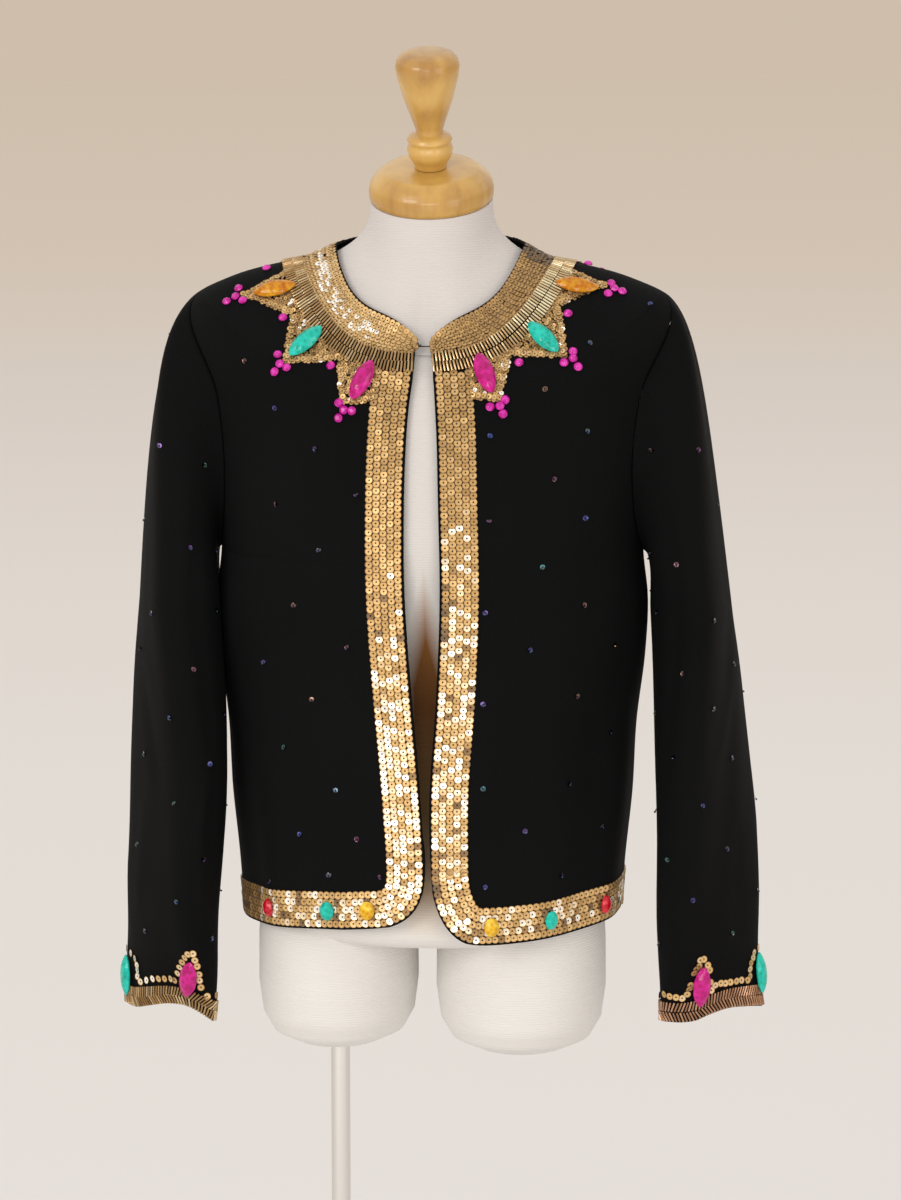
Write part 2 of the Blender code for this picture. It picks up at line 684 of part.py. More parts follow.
def build_sleeve(side, word, collection):
    grid = sleeve_grid(side)
    if side < 0:
        grid = mirrored_grid(grid)
    normals = grid_normals(grid)
    slab("sleeve_" + word, grid, moved_out(grid, normals, -WALL), all_cells(grid, wrap=True),
         "knit", collection, wrap=True)
    cells = [(1, column) for column in range(len(grid[0]))]
    slab("cuff_band_" + word, moved_out(grid, normals, GAP + BUGLE_THICK), moved_out(grid, normals, GAP),
         cells, "bronze", collection, wrap=True)
    return grid


def cloth_tree(grids):
    """A search tree over the facets of some grids, each with its own cells."""
    points = []
    faces = []
    for grid, cells in grids:
        first = len(points)
        columns = len(grid[0])
        points += [point for row in grid for point in row]
        for row, column in cells:
            a = first + row * columns + column
            b = first + row * columns + (column + 1) % columns
            faces.append((a, b, b + columns))
            faces.append((a, b + columns, a + columns))
    return BVHTree.FromPolygons(points, faces)


def smooth_tree():
    """A search tree over the true surface round the neck, finer than the panels."""
    turns = np.linspace(-math.pi, math.pi, 181)
    levels = np.linspace(ARMHOLE_TOP - 0.13, NECK, 36)
    grid = [[cloth_point(turn, level) for turn in turns] for level in levels]
    return cloth_tree([(grid, all_cells(grid))])


class YokeEdge:
    """The yoke's outer edge on one side, measured by length from the front opening."""

    def __init__(self, side):
        self.side = side
        start = angle_at(side, edge_x(side, YOKE_EDGE) * side, YOKE_EDGE)
        self.angles = np.linspace(start, math.pi, 400)
        points = [cloth_point(side * angle, YOKE_EDGE) for angle in self.angles]
        steps = [0.0] + [(b - a).length for a, b in zip(points, points[1:])]
        self.lengths = np.cumsum(steps)
        self.length = float(self.lengths[-1])
        self.shoulder = float(np.interp(math.pi / 2, self.angles, self.lengths))

    def theta(self, distance):
        return self.side * float(np.interp(distance, self.lengths, self.angles))

    def outward(self, distance):
        """The direction in the cloth, square to the edge and away from the neck."""
        theta = self.theta(distance)
        along = cloth_point(theta + NUDGE, YOKE_EDGE) - cloth_point(theta - NUDGE, YOKE_EDGE)
        return along.cross(cloth_normal(theta, YOKE_EDGE)).normalized()

    def along(self, distance):
        """The direction in the cloth, along the edge and away from the front opening."""
        start = cloth_point(self.theta(distance), YOKE_EDGE)
        end = cloth_point(self.theta(distance + NUDGE), YOKE_EDGE)
        return (end - start).normalized()

    def stars(self):
        behind = [star._replace(place=self.shoulder + star.place) for star in BACK_STARS]
        return list(FRONT_STARS[self.side]) + behind


def star_share(distance, star):
    """How far up a star point's flank a column lies: 1 at the tip, and 0 or less off its base."""
    offset = distance - star.place
    return 1 + offset / star.near if offset < 0 else 1 - offset / star.far


def star_flank(edge, distance, star):
    """How the flank lies from a column's foot, as a vector."""
    share = star_share(distance, star)
    if share <= 0:
        return Vector()
    offset = distance - star.place
    low_out, low_along = (star.near_out, star.near_along) if offset < 0 else (0.0, star.far)
    out = low_out + (star.tip_out - low_out) * share
    along = low_along + (star.tip_along - low_along) * share
    return edge.outward(star.place) * out + edge.along(star.place) * (along - offset)


def valley_marks(first, second):
    """Where the facing flanks of two star points meet, or where each one ends."""
    gap = second.place - first.place
    reach = first.far + second.near
    if reach < gap:
        return {first.place + first.far, second.place - second.near}
    meet = first.place + gap * first.far / reach
    return {meet - STAR_HAIR, meet + STAR_HAIR}


def yoke_columns(edge):
    """Each column of the yoke on one side: its distance, and how the flank lies from its foot."""
    stars = edge.stars()
    start = stars[0].place - stars[0].near * STAR_START
    marks = {0.0, start - STAR_HAIR, start, stars[-1].place + stars[-1].far, edge.length}
    marks |= {star.place for star in stars}
    for first, second in zip(stars, stars[1:]):
        marks |= valley_marks(first, second)
    kept = []
    for mark in sorted(mark for mark in marks if mark <= edge.length):
        if kept and mark - kept[-1] < STAR_HAIR * NEAR_ENOUGH:
            continue
        if kept:
            pieces = math.ceil((mark - kept[-1]) / YOKE_STEP)
            kept += [kept[-1] + (mark - kept[-1]) * k / pieces for k in range(1, pieces)]
        kept.append(mark)
    columns = []
    for mark in kept:
        star = max(stars, key=lambda star: star_share(mark, star))
        columns.append((mark, star_flank(edge, mark, star)))
    return columns


def yoke_column(edge, column, smooth):
    """Inner points of one yoke column and their normals, from its tip up to the neck band."""
    distance, flank = column
    theta = edge.theta(distance)
    base = cloth_point(theta, YOKE_EDGE)
    top = cloth_point(theta, BAND_EDGE)
    down = (base - top).normalized()
    foot = base - down * YOKE_MARGIN
    spots = [foot + flank * part for part in (1.0, 2 / 3, 1 / 3)]
    spots += [foot, (base + top) / 2, top + down * YOKE_MARGIN]
    points = []
    normals = []
    for spot in spots:
        place, normal, _, _ = smooth.find_nearest(spot)
        points.append(place + normal * YOKE_SKIM)
        normals.append(normal)
    return points, normals


def raise_clear(rows, normals, cells, panels):
    """Raises a grid's points until places along its edges clear the panels under it."""
    for _ in range(CLEAR_PASSES):
        lifts = {}
        for row, column in cells:
            corners = ((row, column), (row, column + 1), (row + 1, column + 1), (row + 1, column))
            for first, second in ((0, 1), (1, 2), (2, 3), (3, 0), (0, 2)):
                start = corners[first]
                end = corners[second]
                for part in (0.0, 0.25, 0.5, 0.75, 1.0):
                    spot = rows[start[0]][start[1]].lerp(rows[end[0]][end[1]], part)
                    place, normal, _, _ = panels.find_nearest(spot)
                    short = YOKE_CLEAR - (spot - place).dot(normal)
                    for corner, weight in ((start, 1 - part), (end, part)):
                        if weight > 0:
                            lifts[corner] = max(lifts.get(corner, 0.0), short)
        for (row, column), lift in lifts.items():
            rows[row][column] = rows[row][column] + normals[row][column] * lift


def build_yoke(panels, collection):
    """The bugle band and star points; gives each side's edge and a tree over the outside."""
    sides = {side: YokeEdge(side) for side in (-1, 1)}
    left = [(sides[-1], column) for column in yoke_columns(sides[-1])]
    right = [(sides[1], column) for column in yoke_columns(sides[1])]
    path = right + left[::-1][1:]
    smooth = smooth_tree()
    columns = [yoke_column(edge, column, smooth) for edge, column in path]
    inner_rows = [list(row) for row in zip(*(points for points, _ in columns))]
    normals = [list(row) for row in zip(*(lines for _, lines in columns))]
    cells = []
    for row, column in all_cells(inner_rows):
        if row > 2 or path[column][1][1].length > 0 or path[column + 1][1][1].length > 0:
            cells.append((row, column))
    raise_clear(inner_rows, normals, cells, panels)
    outer_rows = moved_out(inner_rows, normals, BAND_THICK)
    pinch_flat_cells(outer_rows, inner_rows)
    slab("yoke_band", outer_rows, inner_rows, cells, "bronze", collection)
    return sides, cloth_tree([(outer_rows, cells)])


def pinch_flat_cells(outer_rows, inner_rows):
    """Spreads the rows of a column with no star point a hair apart, so that no face is empty."""
    hair = 0.00004
    for rows in (outer_rows, inner_rows):
        for column in range(len(rows[0])):
            down = rows[3][column] - rows[4][column]
            down.normalize()
            if (rows[0][column] - rows[3][column]).length < 1e-4:
                for step in range(3):
                    rows[step][column] = rows[3][column] + down * (hair * (3 - step))


def stone_mesh(name, stone):
    """A cut stone, lying in XY with its long axis along X and its back at z = 0."""
    mesh = bpy.data.meshes.new(name)
    builder = bmesh.new()

    def outline(scale, height):
        ring = []
        for step in range(stone.corners):
            turn = 2 * math.pi * step / stone.corners
            side = math.sin(turn) * abs(math.sin(turn)) ** stone.pointed
            ring.append(builder.verts.new((scale * stone.length / 2 * math.cos(turn),
                                           scale * stone.width / 2 * side, height)))
        return ring

    rings = [outline(0.94, 0.0), outline(1.0, stone.height * 0.22), outline(0.60, stone.height * 0.86)]
    for lower, upper in zip(rings, rings[1:]):
        for i in range(stone.corners):
            j = (i + 1) % stone.corners
            builder.faces.new((lower[i], lower[j], upper[j], upper[i]))
    top = builder.verts.new((0.0, 0.0, stone.height))
    for i in range(stone.corners):
        builder.faces.new((rings[2][i], rings[2][(i + 1) % stone.corners], top))
    builder.faces.new(rings[0][::-1])
    builder.to_mesh(mesh)
    builder.free()
    return mesh


def place_stone(name, stone, finish, spot, along, cover, tree, collection):
    """Seats a stone on the cloth, clear of a trim of the given cover under it."""
    reach = along * (stone.length * STONE_BEARING)
    place, normal, _, _ = tree.find_nearest(spot)
    upper, upper_normal, _, _ = tree.find_nearest(spot + reach)
    lower, lower_normal, _, _ = tree.find_nearest(spot - reach)
    along = (upper - lower).normalized()
    normal = normal + upper_normal + lower_normal
    normal = (normal - along * normal.dot(along)).normalized()
    turn = Matrix((along, normal.cross(along), normal)).transposed()
    mesh = stone_mesh(name, stone)
    lift = -stone.height
    backs = [vert.co for vert in mesh.vertices if vert.co.z == 0]
    for corner in backs + [back / 2 for back in backs] + [Vector()]:
        bearing = place + turn @ corner
        below, below_normal, _, _ = tree.find_nearest(bearing)
        lift = max(lift, cover + GAP - (bearing - below).dot(below_normal))
    thing = add_object(name, mesh, finish, collection)
    thing.matrix_world = Matrix.Translation(place + normal * lift) @ turn.to_4x4()


def build_yoke_stones(sides, tree, collection):
    colours = ("magenta", "teal", "amber", "amber", "teal", "magenta")
    for side, word in ((-1, "left"), (1, "right")):
        edge = sides[side]
        places = list(YOKE_STONES[side])
        places += [StonePlace(star.place, BACK_STONE_OUT, 0) for star in edge.stars()[len(places):]]
        for number, stone in enumerate(places):
            outward = edge.outward(stone.place)
            lean = math.radians(stone.lean)
            axis = outward * math.cos(lean) + edge.along(stone.place) * math.sin(lean)
            spot = cloth_point(edge.theta(stone.place), YOKE_EDGE) + outward * stone.out
            name = f"yoke_gem_{word}_{number + 1}"
            place_stone(name, YOKE_STONE, colours[number], spot, axis, 0.0, tree, collection)


def build_cuff_stones(side, word, tree, collection):
    colours = ("magenta", "teal", "amber")
    for number, stone in enumerate(CUFF_STONES[side]):
        spot = sleeve_ring(side, stone.angle, CUFF_EDGE[side] + stone.rise)
        spot.z += cuff_shift(side, stone.angle, spot.z)
        spot.x *= side
        lean = math.radians(stone.lean)
        axis = Vector((math.sin(lean), 0, math.cos(lean)))
        name = f"cuff_gem_{word}_{number + 1}"
        place_stone(name, YOKE_STONE, colours[number], spot, axis, GAP + BUGLE_THICK, tree, collection)


def build_hem_stones(tree, collection):
    colours = ("red", "teal", "yellow", "yellow", "teal", "red")
    for word, front in (("front", True), ("back", False)):
        for number, x in enumerate(HEM_STONE_X):
            theta = angle_at(1, x, HEM_STONE_LEVEL)
            if not front:
                theta = math.pi - theta
            around = (theta + math.pi) % (2 * math.pi) - math.pi
            spot = cloth_point(theta, hem_height(around) + HEM_STONE_RISE)
            name = f"hem_gem_{word}_{number + 1}"
            place_stone(name, HEM_STONE, colours[number], spot, Vector((0, 0, 1)),
                        GAP + BAND_THICK, tree, collection)


def form_point(theta, level):
    inset = Inset(level, *curve_through(FORM_INSETS, level))
    s = math.sin(theta) ** 2
    deep = inset.front if math.cos(theta) > 0 else inset.back
    distance = inset.side * s + deep * (1 - s)
    return cloth_point(theta, level, False) - cloth_normal(theta, level, False) * distance


def build_form(collection, guides):
    turns = [2 * math.pi * i / FORM_COLUMNS for i in range(FORM_COLUMNS)]
    lowest = [form_point(turn, FORM_LEVELS[0]) for turn in turns]
    rings = [[Vector((point.x * scale, point.y * scale, z)) for point in lowest] for z, scale in PELVIS]
    rings += [[form_point(turn, level) for turn in turns] for level in FORM_LEVELS]
    tilt = Matrix.Rotation(PLATE_TILT, 4, "X")
    plate = [PLATE_CENTRE + tilt @ Vector((math.sin(turn), -math.cos(turn), 0)) * PLATE_RADIUS
             for turn in turns]
    collar = rings[-1]
    for step in NECK_STEPS:
        draw = 1 - (1 - step) ** 3
        ring = []
        for low, high in zip(collar, plate):
            flat = low.lerp(high, draw)
            ring.append(Vector((flat.x, flat.y, low.z + (high.z - low.z) * step)))
        rings.append(ring)
    form = loft("form", rings, "canvas", collection)
    for name, thigh in THIGHS.items():
        leg = build_thigh(name, thigh, guides)
        join = form.modifiers.new(name, "BOOLEAN")
        join.operation = "UNION"
        join.solver = "EXACT"
        join.object = leg


def build_thigh(name, thigh, guides):
    rings = []
    for height, scale in THIGH_SECTIONS + ((THIGH_TOP - thigh.bottom, 0.96),):
        ring = []
        for i in range(THIGH_COLUMNS):
            turn = 2 * math.pi * (i + 0.5) / THIGH_COLUMNS
            ring.append(Vector((thigh.x + thigh.half_width * scale * math.sin(turn),
                                -THIGH_DEPTH * scale * math.cos(turn), thigh.bottom + height)))
        rings.append(ring)
    leg = loft(name, rings, "canvas", guides)
    leg.hide_render = True
    leg.display_type = "WIRE"
    return leg


def turned(name, profile, place, collection):
    """A turned piece on the tilted neck plate."""
    mesh = bpy.data.meshes.new(name)
    points = [(radius, 0.0, height) for radius, height in profile]
    lines = [(i, i + 1) for i in range(len(points) - 1)]
    mesh.from_pydata(points, lines, [])
    thing = add_object(name, mesh, "wood", collection)
    screw = thing.modifiers.new("turn", "SCREW")
    screw.steps = TURNED_STEPS
    screw.render_steps = TURNED_STEPS
    screw.use_merge_vertices = True
    screw.merge_threshold = 0.0001
    thing.location = place
    thing.rotation_euler = (PLATE_TILT, 0.0, 0.0)


def build_fittings(collection):
    axis = Vector((0.0, -math.sin(PLATE_TILT), math.cos(PLATE_TILT)))
    turned("neck_cap", CAP_PROFILE, PLATE_CENTRE + axis * GAP, collection)
    turned("finial", FINIAL_PROFILE, PLATE_CENTRE + axis * 2 * GAP, collection)
    bpy.ops.mesh.primitive_cylinder_add(vertices=48, radius=FOOT_RADIUS, depth=FOOT_THICK,
                                        location=(0.0, 0.0, FOOT_THICK / 2))
    adopt("base", "steel", collection)
    bottom = FOOT_THICK + GAP
    top = THIGHS["thigh_left"].bottom - GAP
    bpy.ops.mesh.primitive_cylinder_add(vertices=20, radius=POLE_RADIUS, depth=top - bottom,
                                        location=(POLE_X, POLE_Y, (top + bottom) / 2))
    adopt("pole", "steel", collection)


def adopt(name, finish, collection):
    """Names the newest primitive and moves it to the part's collection."""
    thing = bpy.context.object
    thing.name = name
    thing.data.name = name
    for holder in list(thing.users_collection):
        holder.objects.unlink(thing)
    collection.objects.link(thing)
    thing.data.materials.append(material(finish))
    thing.data.shade_smooth()
    thing.data.set_sharp_from_angle(angle=math.radians(40))


def wire(name, points, cyclic, collection):
    curve = bpy.data.curves.new(name, "CURVE")
    curve.dimensions = "3D"
    curve.bevel_depth = WIRE
    curve.bevel_resolution = 1
    curve.use_fill_caps = not cyclic
    spline = curve.splines.new("POLY")
    spline.points.add(len(points) - 1)
    for spot, point in zip(spline.points, points):
        spot.co = (*point, 1.0)
    spline.use_cyclic_u = cyclic
    add_object(name, curve, "wire", collection)


def build_hook(cloth_back, collection):
    """A hook behind the right edge that passes through an eye behind the left edge."""
    left_edge = edge_x(-1, HOOK_LEVEL)
    right_edge = edge_x(1, HOOK_LEVEL)
    edges = [cloth_point(side * angle_at(side, x * side, HOOK_LEVEL), HOOK_LEVEL)
             for side, x in ((-1, left_edge), (1, right_edge))]
    origin = cloth_point(0.0, HOOK_LEVEL)
    origin.z = (edges[0].z + edges[1].z) / 2
    outward = cloth_normal(0.0, BAND_EDGE)
    outward.x = 0.0
    outward.normalize()
    upward = outward.cross(Vector((1, 0, 0))).normalized()

    def spot(x, up, deeper):
        """A place behind the cloth at x, raised along it, and deeper than its back."""
        depth = WALL + WIRE + x * x / (2 * NECK_BEND) + deeper
        return origin + Vector((x, 0, 0)) + upward * up - outward * depth

    eye_x = left_edge + 0.0005
    turns = [2 * math.pi * i / EYE_STEPS for i in range(EYE_STEPS)]
    ring = [spot(eye_x + EYE_RADIUS * math.cos(turn), EYE_RADIUS * math.sin(turn), 0.0)
            for turn in turns]
    catch = eye_x + EYE_RADIUS
    arm = 2 * WIRE + 0.0004
    bend = [(0.0022, -arm), (-0.0004, -arm), (-0.0014, -arm * 0.6), (-0.0018, 0.0),
            (-0.0014, arm * 0.6), (-0.0004, arm), (0.0026, arm)]
    path = [spot(catch + across, 0.0, deeper) for across, deeper in bend]
    path += [spot(right_edge + 0.0025, 0.0, 0.0), spot(right_edge + 0.0050, 0.0, 0.0)]
    seat = WIRE + HOOK_CLEAR
    for _ in range(SEAT_PASSES):
        nearest = min(cloth_back.find_nearest(point)[3] for point in ring + path)
        ring = [point + outward * (nearest - seat) for point in ring]
        path = [point + outward * (nearest - seat) for point in path]
    wire("eye", ring, True, collection)
    wire("hook", path, False, collection)


def build_part():
    clear_scene()
    collection = new_collection(COLLECTION)
    guides = new_collection("guides")
    places = {"front_left": front_places(-1), "front_right": front_places(1), "back": back_places()}
    panels = {name: panel(name, places[name], collection) for name in places}
    for side, word in ((-1, "left"), (1, "right")):
        front = places["front_" + word]
        band("front_band_" + word, front, front_band_cells(side, front), "gold", BAND_THICK, collection)
    back = places["back"]
    hem = [(row, column) for row in (1, 2) for column in range(len(back[0]) - 1)]
    band("hem_band_back", back, hem, "gold", BAND_THICK, collection)
    build_neck_band(places, collection)
    sleeves = {side: build_sleeve(side, word, collection) for side, word in ((-1, "left"), (1, "right"))}
    tree = cloth_tree([(grid, all_cells(grid)) for grid in panels.values()])
    sides, yoke_tree = build_yoke(tree, collection)
    build_yoke_stones(sides, yoke_tree, collection)
    build_hem_stones(tree, collection)
    for side, word in ((-1, "left"), (1, "right")):
        grid = sleeves[side]
        sleeve_tree = cloth_tree([(grid, all_cells(grid, wrap=True))])
        build_cuff_stones(side, word, sleeve_tree, collection)
    build_form(collection, guides)
    build_fittings(collection)
    inner = [grid_points(rows, -WALL) for rows in places.values()]
    build_hook(cloth_tree([(grid, all_cells(grid)) for grid in inner]), collection)


def build_neck_band(places, collection):
    """The sequin band round the neckline, over both fronts and the back."""
    rows = len(NECK_ROWS)
    left = [row[:-1] for row in places["front_left"][-rows:]]
    right = [row[1:] for row in places["front_right"][-rows:]]
    back = places["back"][-rows:]
    joined = []
    for right_row, back_row, left_row in zip(right, back, left):
        over = [(theta + 2 * math.pi, level) for theta, level in left_row]
        level = right_row[0][1]
        joined.append(right_row[:-1] + [(math.pi / 2, level)] + back_row[1:-1]
                      + [(1.5 * math.pi, level)] + over[1:])
    first = NECK_ROWS.index(BAND_EDGE)
    cells = [(row, column) for row in range(first, rows - 2) for column in range(len(joined[0]) - 1)]
    band("neck_sequin_band", joined, cells, "gold", BAND_THICK, collection)


build_part()
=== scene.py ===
"""The looks of a beaded cardigan on a dress form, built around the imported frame.

Metres, +Z up, and the front faces -Y. The cloth is worked out from the same rings as the
solids, on a finer grid. Theta is the angle round the body from the middle of the front
towards +X. A sleeve's angle is 0 at the front and 90 on the outer side. In tables with two
sides, -1 is the picture's left and 1 its right.
"""
import math
from collections import namedtuple

import bpy
import numpy as np
from mathutils import Matrix, Vector
from mathutils.bvhtree import BVHTree


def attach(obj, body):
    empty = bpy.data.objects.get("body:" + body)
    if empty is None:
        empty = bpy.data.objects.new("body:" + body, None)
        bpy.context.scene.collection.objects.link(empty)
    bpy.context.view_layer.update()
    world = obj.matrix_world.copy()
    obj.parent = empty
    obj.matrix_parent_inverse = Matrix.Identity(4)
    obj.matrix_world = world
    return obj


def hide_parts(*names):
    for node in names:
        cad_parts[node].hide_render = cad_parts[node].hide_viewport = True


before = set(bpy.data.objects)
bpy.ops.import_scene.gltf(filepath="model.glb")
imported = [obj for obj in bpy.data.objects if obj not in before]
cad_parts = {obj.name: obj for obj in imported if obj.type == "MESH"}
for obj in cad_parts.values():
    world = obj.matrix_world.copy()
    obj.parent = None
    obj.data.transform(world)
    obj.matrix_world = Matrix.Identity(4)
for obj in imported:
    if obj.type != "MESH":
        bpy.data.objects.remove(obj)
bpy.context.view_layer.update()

rng = np.random.default_rng(20)


def named(fields, *rows):
    """A table whose columns have names."""
    row_kind = namedtuple("Row", fields)
    return tuple(row_kind(*row) for row in rows)


SIDES = ((-1, "left"), (1, "right"))

# The photograph's camera
PICTURE_WIDTH = 901
PICTURE_HEIGHT = 1200
CAMERA_PLACE = Vector((0.27410, -2.95576, 1.50343))
CAMERA_TARGET = Vector((0.0155, 0.0, 1.06))
FOCAL_PIXELS = 3571.43
SENSOR_HEIGHT = 24.0

# Cloth thickness, and how high each trim lies on it
WALL = 0.0018
SEQUIN_LIFT = 0.0006
BUGLE_LIFT = 0.0002

# Levels of the body: below the armpit a level is a height
ARMPIT = 1.105
ARMHOLE_TOP = 1.317
SHOULDER = 1.305
OUTER_YOKE = 1.345
FRONT_BAND_TOP = 1.3855
YOKE_EDGE = 1.388
BAND_EDGE = 1.408
NECK = 1.440
BODY_RINGS = named(
    "level z_front z_side z_back half_width front back tip power back_power middle",
    (0.780, 0.780, 0.780, 0.780, 0.1595, 0.1205, 0.1065, 0.0, 2.0, 2.0, 0.0),
    (0.845, 0.845, 0.845, 0.845, 0.1640, 0.1180, 0.1040, 0.0, 2.0, 2.0, 0.0),
    (0.900, 0.900, 0.900, 0.900, 0.1695, 0.1165, 0.1020, 0.0, 2.0, 2.0, 0.0),
    (0.960, 0.960, 0.960, 0.960, 0.1725, 0.1165, 0.1000, 0.0, 2.0, 2.0, 0.0),
    (1.020, 1.020, 1.020, 1.020, 0.1795, 0.1200, 0.1000, 0.0, 2.0, 2.0, 0.0),
    (1.065, 1.065, 1.065, 1.065, 0.1812, 0.1240, 0.1010, 0.0, 2.0, 2.0, 0.0),
    (ARMPIT, 1.105, 1.105, 1.105, 0.1770, 0.1255, 0.1020, 0.0, 2.0, 2.0, 0.0),
    (1.165, 1.160, 1.167, 1.165, 0.1790, 0.1225, 0.1010, 0.0, 2.0, 2.0, 0.0),
    (1.230, 1.205, 1.240, 1.222, 0.1870, 0.1130, 0.0965, 0.0, 2.0, 2.0, 0.0),
    (SHOULDER, 1.236, 1.312, 1.268, 0.2010, 0.1045, 0.0890, 0.0, 2.2, 2.0, 0.0),
    (OUTER_YOKE, 1.247, 1.331, 1.290, 0.1660, 0.1010, 0.0835, 0.0, 2.6, 2.0, -0.0008),
    (YOKE_EDGE, 1.2607, 1.343, 1.311, 0.1221, 0.0985, 0.0785, 0.0, 3.15, 2.0, -0.0017),
    (BAND_EDGE, 1.2755, 1.3465, 1.3320, 0.1045, 0.0925, 0.0715, 0.0, 2.97, 2.5, -0.0023),
    (NECK, 1.2746, 1.3585, 1.3655, 0.0783, 0.0870, 0.0590, 0.427, 4.88, 4.0, -0.0008),
)
NECK_TIP_WIDTH = 0.238
NECK_TIP_PLACE = 0.035
OPENING = named(
    "level left right",
    (0.780, 0.0045, 0.0100), (0.860, 0.0045, 0.0085), (0.913, 0.0011, 0.0084), (1.000, -0.0061, 0.0142),
    (1.080, -0.0109, 0.0175), (1.165, -0.0115, 0.0159), (SHOULDER, -0.0088, 0.0118),
    (YOKE_EDGE, -0.0060, 0.0098), (NECK, -0.0040, 0.0083),
)
HEM_LINE = named(
    "angle height",
    (-180, 0.7975), (-90, 0.7918), (-55, 0.7942), (-25, 0.8008), (-6, 0.8030),
    (6, 0.7925), (20, 0.7910), (45, 0.7940), (90, 0.8022), (180, 0.7975),
)
CORNER_WIDTH = 0.040
CORNER_HEIGHT = 0.054
HEM_JOIN = 0.085

# Folds run straight up the cloth, and only the looks have the slanted creases
FOLD = "angle spread depth low high"
CREASE = "angle_low low angle_high high spread depth"
FOLD_FADE = 0.07
BODY_FOLDS = named(
    FOLD,
    (-64, 9, -0.0030, 0.80, 1.04), (-47, 9, 0.0030, 0.80, 1.10), (38, 8, 0.0025, 0.80, 1.06),
    (54, 8, -0.0025, 0.80, 1.02), (70, 8, 0.0030, 0.80, 1.00), (128, 10, 0.0035, 0.80, 1.08),
    (148, 9, -0.0030, 0.80, 1.04), (172, 10, 0.0030, 0.80, 1.12), (-150, 9, -0.0030, 0.80, 1.05),
    (-130, 10, 0.0035, 0.80, 1.09),
)
BODY_CREASES = named(
    CREASE,
    (-58, 0.93, -72, 1.14, 4.5, -0.0016), (-70, 1.00, -50, 1.17, 4.0, 0.0012),
    (60, 0.96, 74, 1.15, 4.5, -0.0016), (72, 1.02, 52, 1.18, 4.0, 0.0012),
    (-33, 0.86, -36, 1.05, 4.0, 0.0010), (27, 0.84, 24, 1.02, 3.5, -0.0009),
    (118, 0.95, 104, 1.15, 5.0, -0.0018), (-118, 0.98, -106, 1.16, 5.0, -0.0016),
    (160, 0.88, 164, 1.10, 4.5, 0.0012), (-168, 0.86, -160, 1.06, 4.0, -0.0011),
)

# Rows and columns of the cloth panels
HEM_ROWS = (0.0, 0.002, 0.016, 0.030, 0.056, HEM_JOIN, 0.115)
BODY_ROWS = (0.925, 0.965, 1.005, 1.045, 1.078, ARMPIT)
NECK_ROWS = (ARMHOLE_TOP, 1.331, OUTER_YOKE, 1.366, FRONT_BAND_TOP, 1.398, BAND_EDGE, 1.424, 1.4375, NECK)
EDGE_COLUMNS = (0.0, 0.0018, 0.0070, 0.0133, 0.0208, 0.0287)
ROW_PARTS = 4
FRONT_COLUMNS = 34
FRONT_REACH = 0.13
END_DENSITY = 0.35
BACK_COLUMNS = 76
ARMHOLE_STEPS = 9
ARMHOLE_PARTS = 4
ARMHOLE_SPREAD = math.radians(22)
SEAM_ANGLE = 0.0021

# Sleeves
SLEEVE_RING = "z x y long short yaw"
SLEEVES = {
    -1: named(
        SLEEVE_RING,
        (0.690, 0.2240, -0.019, 0.045, 0.0180, 60),
        (0.735, 0.2218, -0.020, 0.0515, 0.0225, 52),
        (0.800, 0.2190, -0.022, 0.0585, 0.0295, 38),
        (0.860, 0.2140, -0.024, 0.063, 0.0325, 32),
        (0.930, 0.2110, -0.024, 0.065, 0.0340, 29),
        (1.015, 0.2100, -0.018, 0.067, 0.0350, 19),
        (1.060, 0.2095, -0.012, 0.068, 0.0350, 12),
    ),
    1: named(
        SLEEVE_RING,
        (0.690, 0.2400, -0.006, 0.0455, 0.0185, 68),
        (0.735, 0.2364, -0.006, 0.048, 0.0210, 56),
        (0.800, 0.2333, -0.006, 0.055, 0.0265, 42),
        (0.870, 0.2310, -0.006, 0.060, 0.0300, 30),
        (0.940, 0.2260, -0.004, 0.065, 0.0330, 18),
        (1.020, 0.2205, 0.000, 0.067, 0.0340, 8),
        (1.060, 0.2170, 0.000, 0.068, 0.0340, 2),
    ),
}
SLEEVE_FOLDS = {
    -1: named(
        FOLD,
        (38, 17, 0.0040, 0.74, 1.16), (-10, 16, -0.0035, 0.80, 1.18), (118, 18, 0.0035, 0.80, 1.15),
        (160, 17, -0.0030, 0.78, 1.12), (-130, 18, 0.0030, 0.76, 1.02),
    ),
    1: named(
        FOLD,
        (30, 17, 0.0040, 0.74, 1.17), (-12, 15, -0.0040, 0.92, 1.20), (75, 17, -0.0030, 0.80, 1.10),
        (135, 18, 0.0035, 0.78, 1.14), (-120, 18, 0.0030, 0.76, 1.00),
    ),
}
SLEEVE_CREASES = {
    -1: named(
        CREASE,
        (20, 0.84, -14, 0.95, 9, 0.0016), (62, 0.90, 84, 1.01, 9, -0.0016), (8, 0.76, 24, 0.86, 8, -0.0012),
        (-60, 0.86, -84, 0.98, 10, 0.0018), (150, 0.90, 176, 1.00, 10, 0.0018),
        (100, 0.78, 84, 0.90, 9, 0.0014),
    ),
    1: named(
        CREASE,
        (16, 0.82, 44, 0.93, 9, -0.0014), (58, 0.92, 88, 1.02, 9, 0.0016), (-6, 0.77, -20, 0.88, 8, 0.0013),
        (-66, 0.88, -88, 1.00, 10, -0.0018), (146, 0.86, 170, 0.97, 10, 0.0018),
        (104, 0.76, 92, 0.88, 9, -0.0014),
    ),
}
SLEEVE_TOP_RING = 1.060
CAP_STEPS = (0.0, 0.10, 0.24, 0.42, 0.60, 0.80, 1.0)
SLEEVE_ROWS = (0.750, 0.780, 0.820, 0.860, 0.900, 0.940, 0.980, 1.020, 1.060)
CUFF_BAND = 0.020
CUFF_EDGE = {-1: 0.7015, 1: 0.7085}
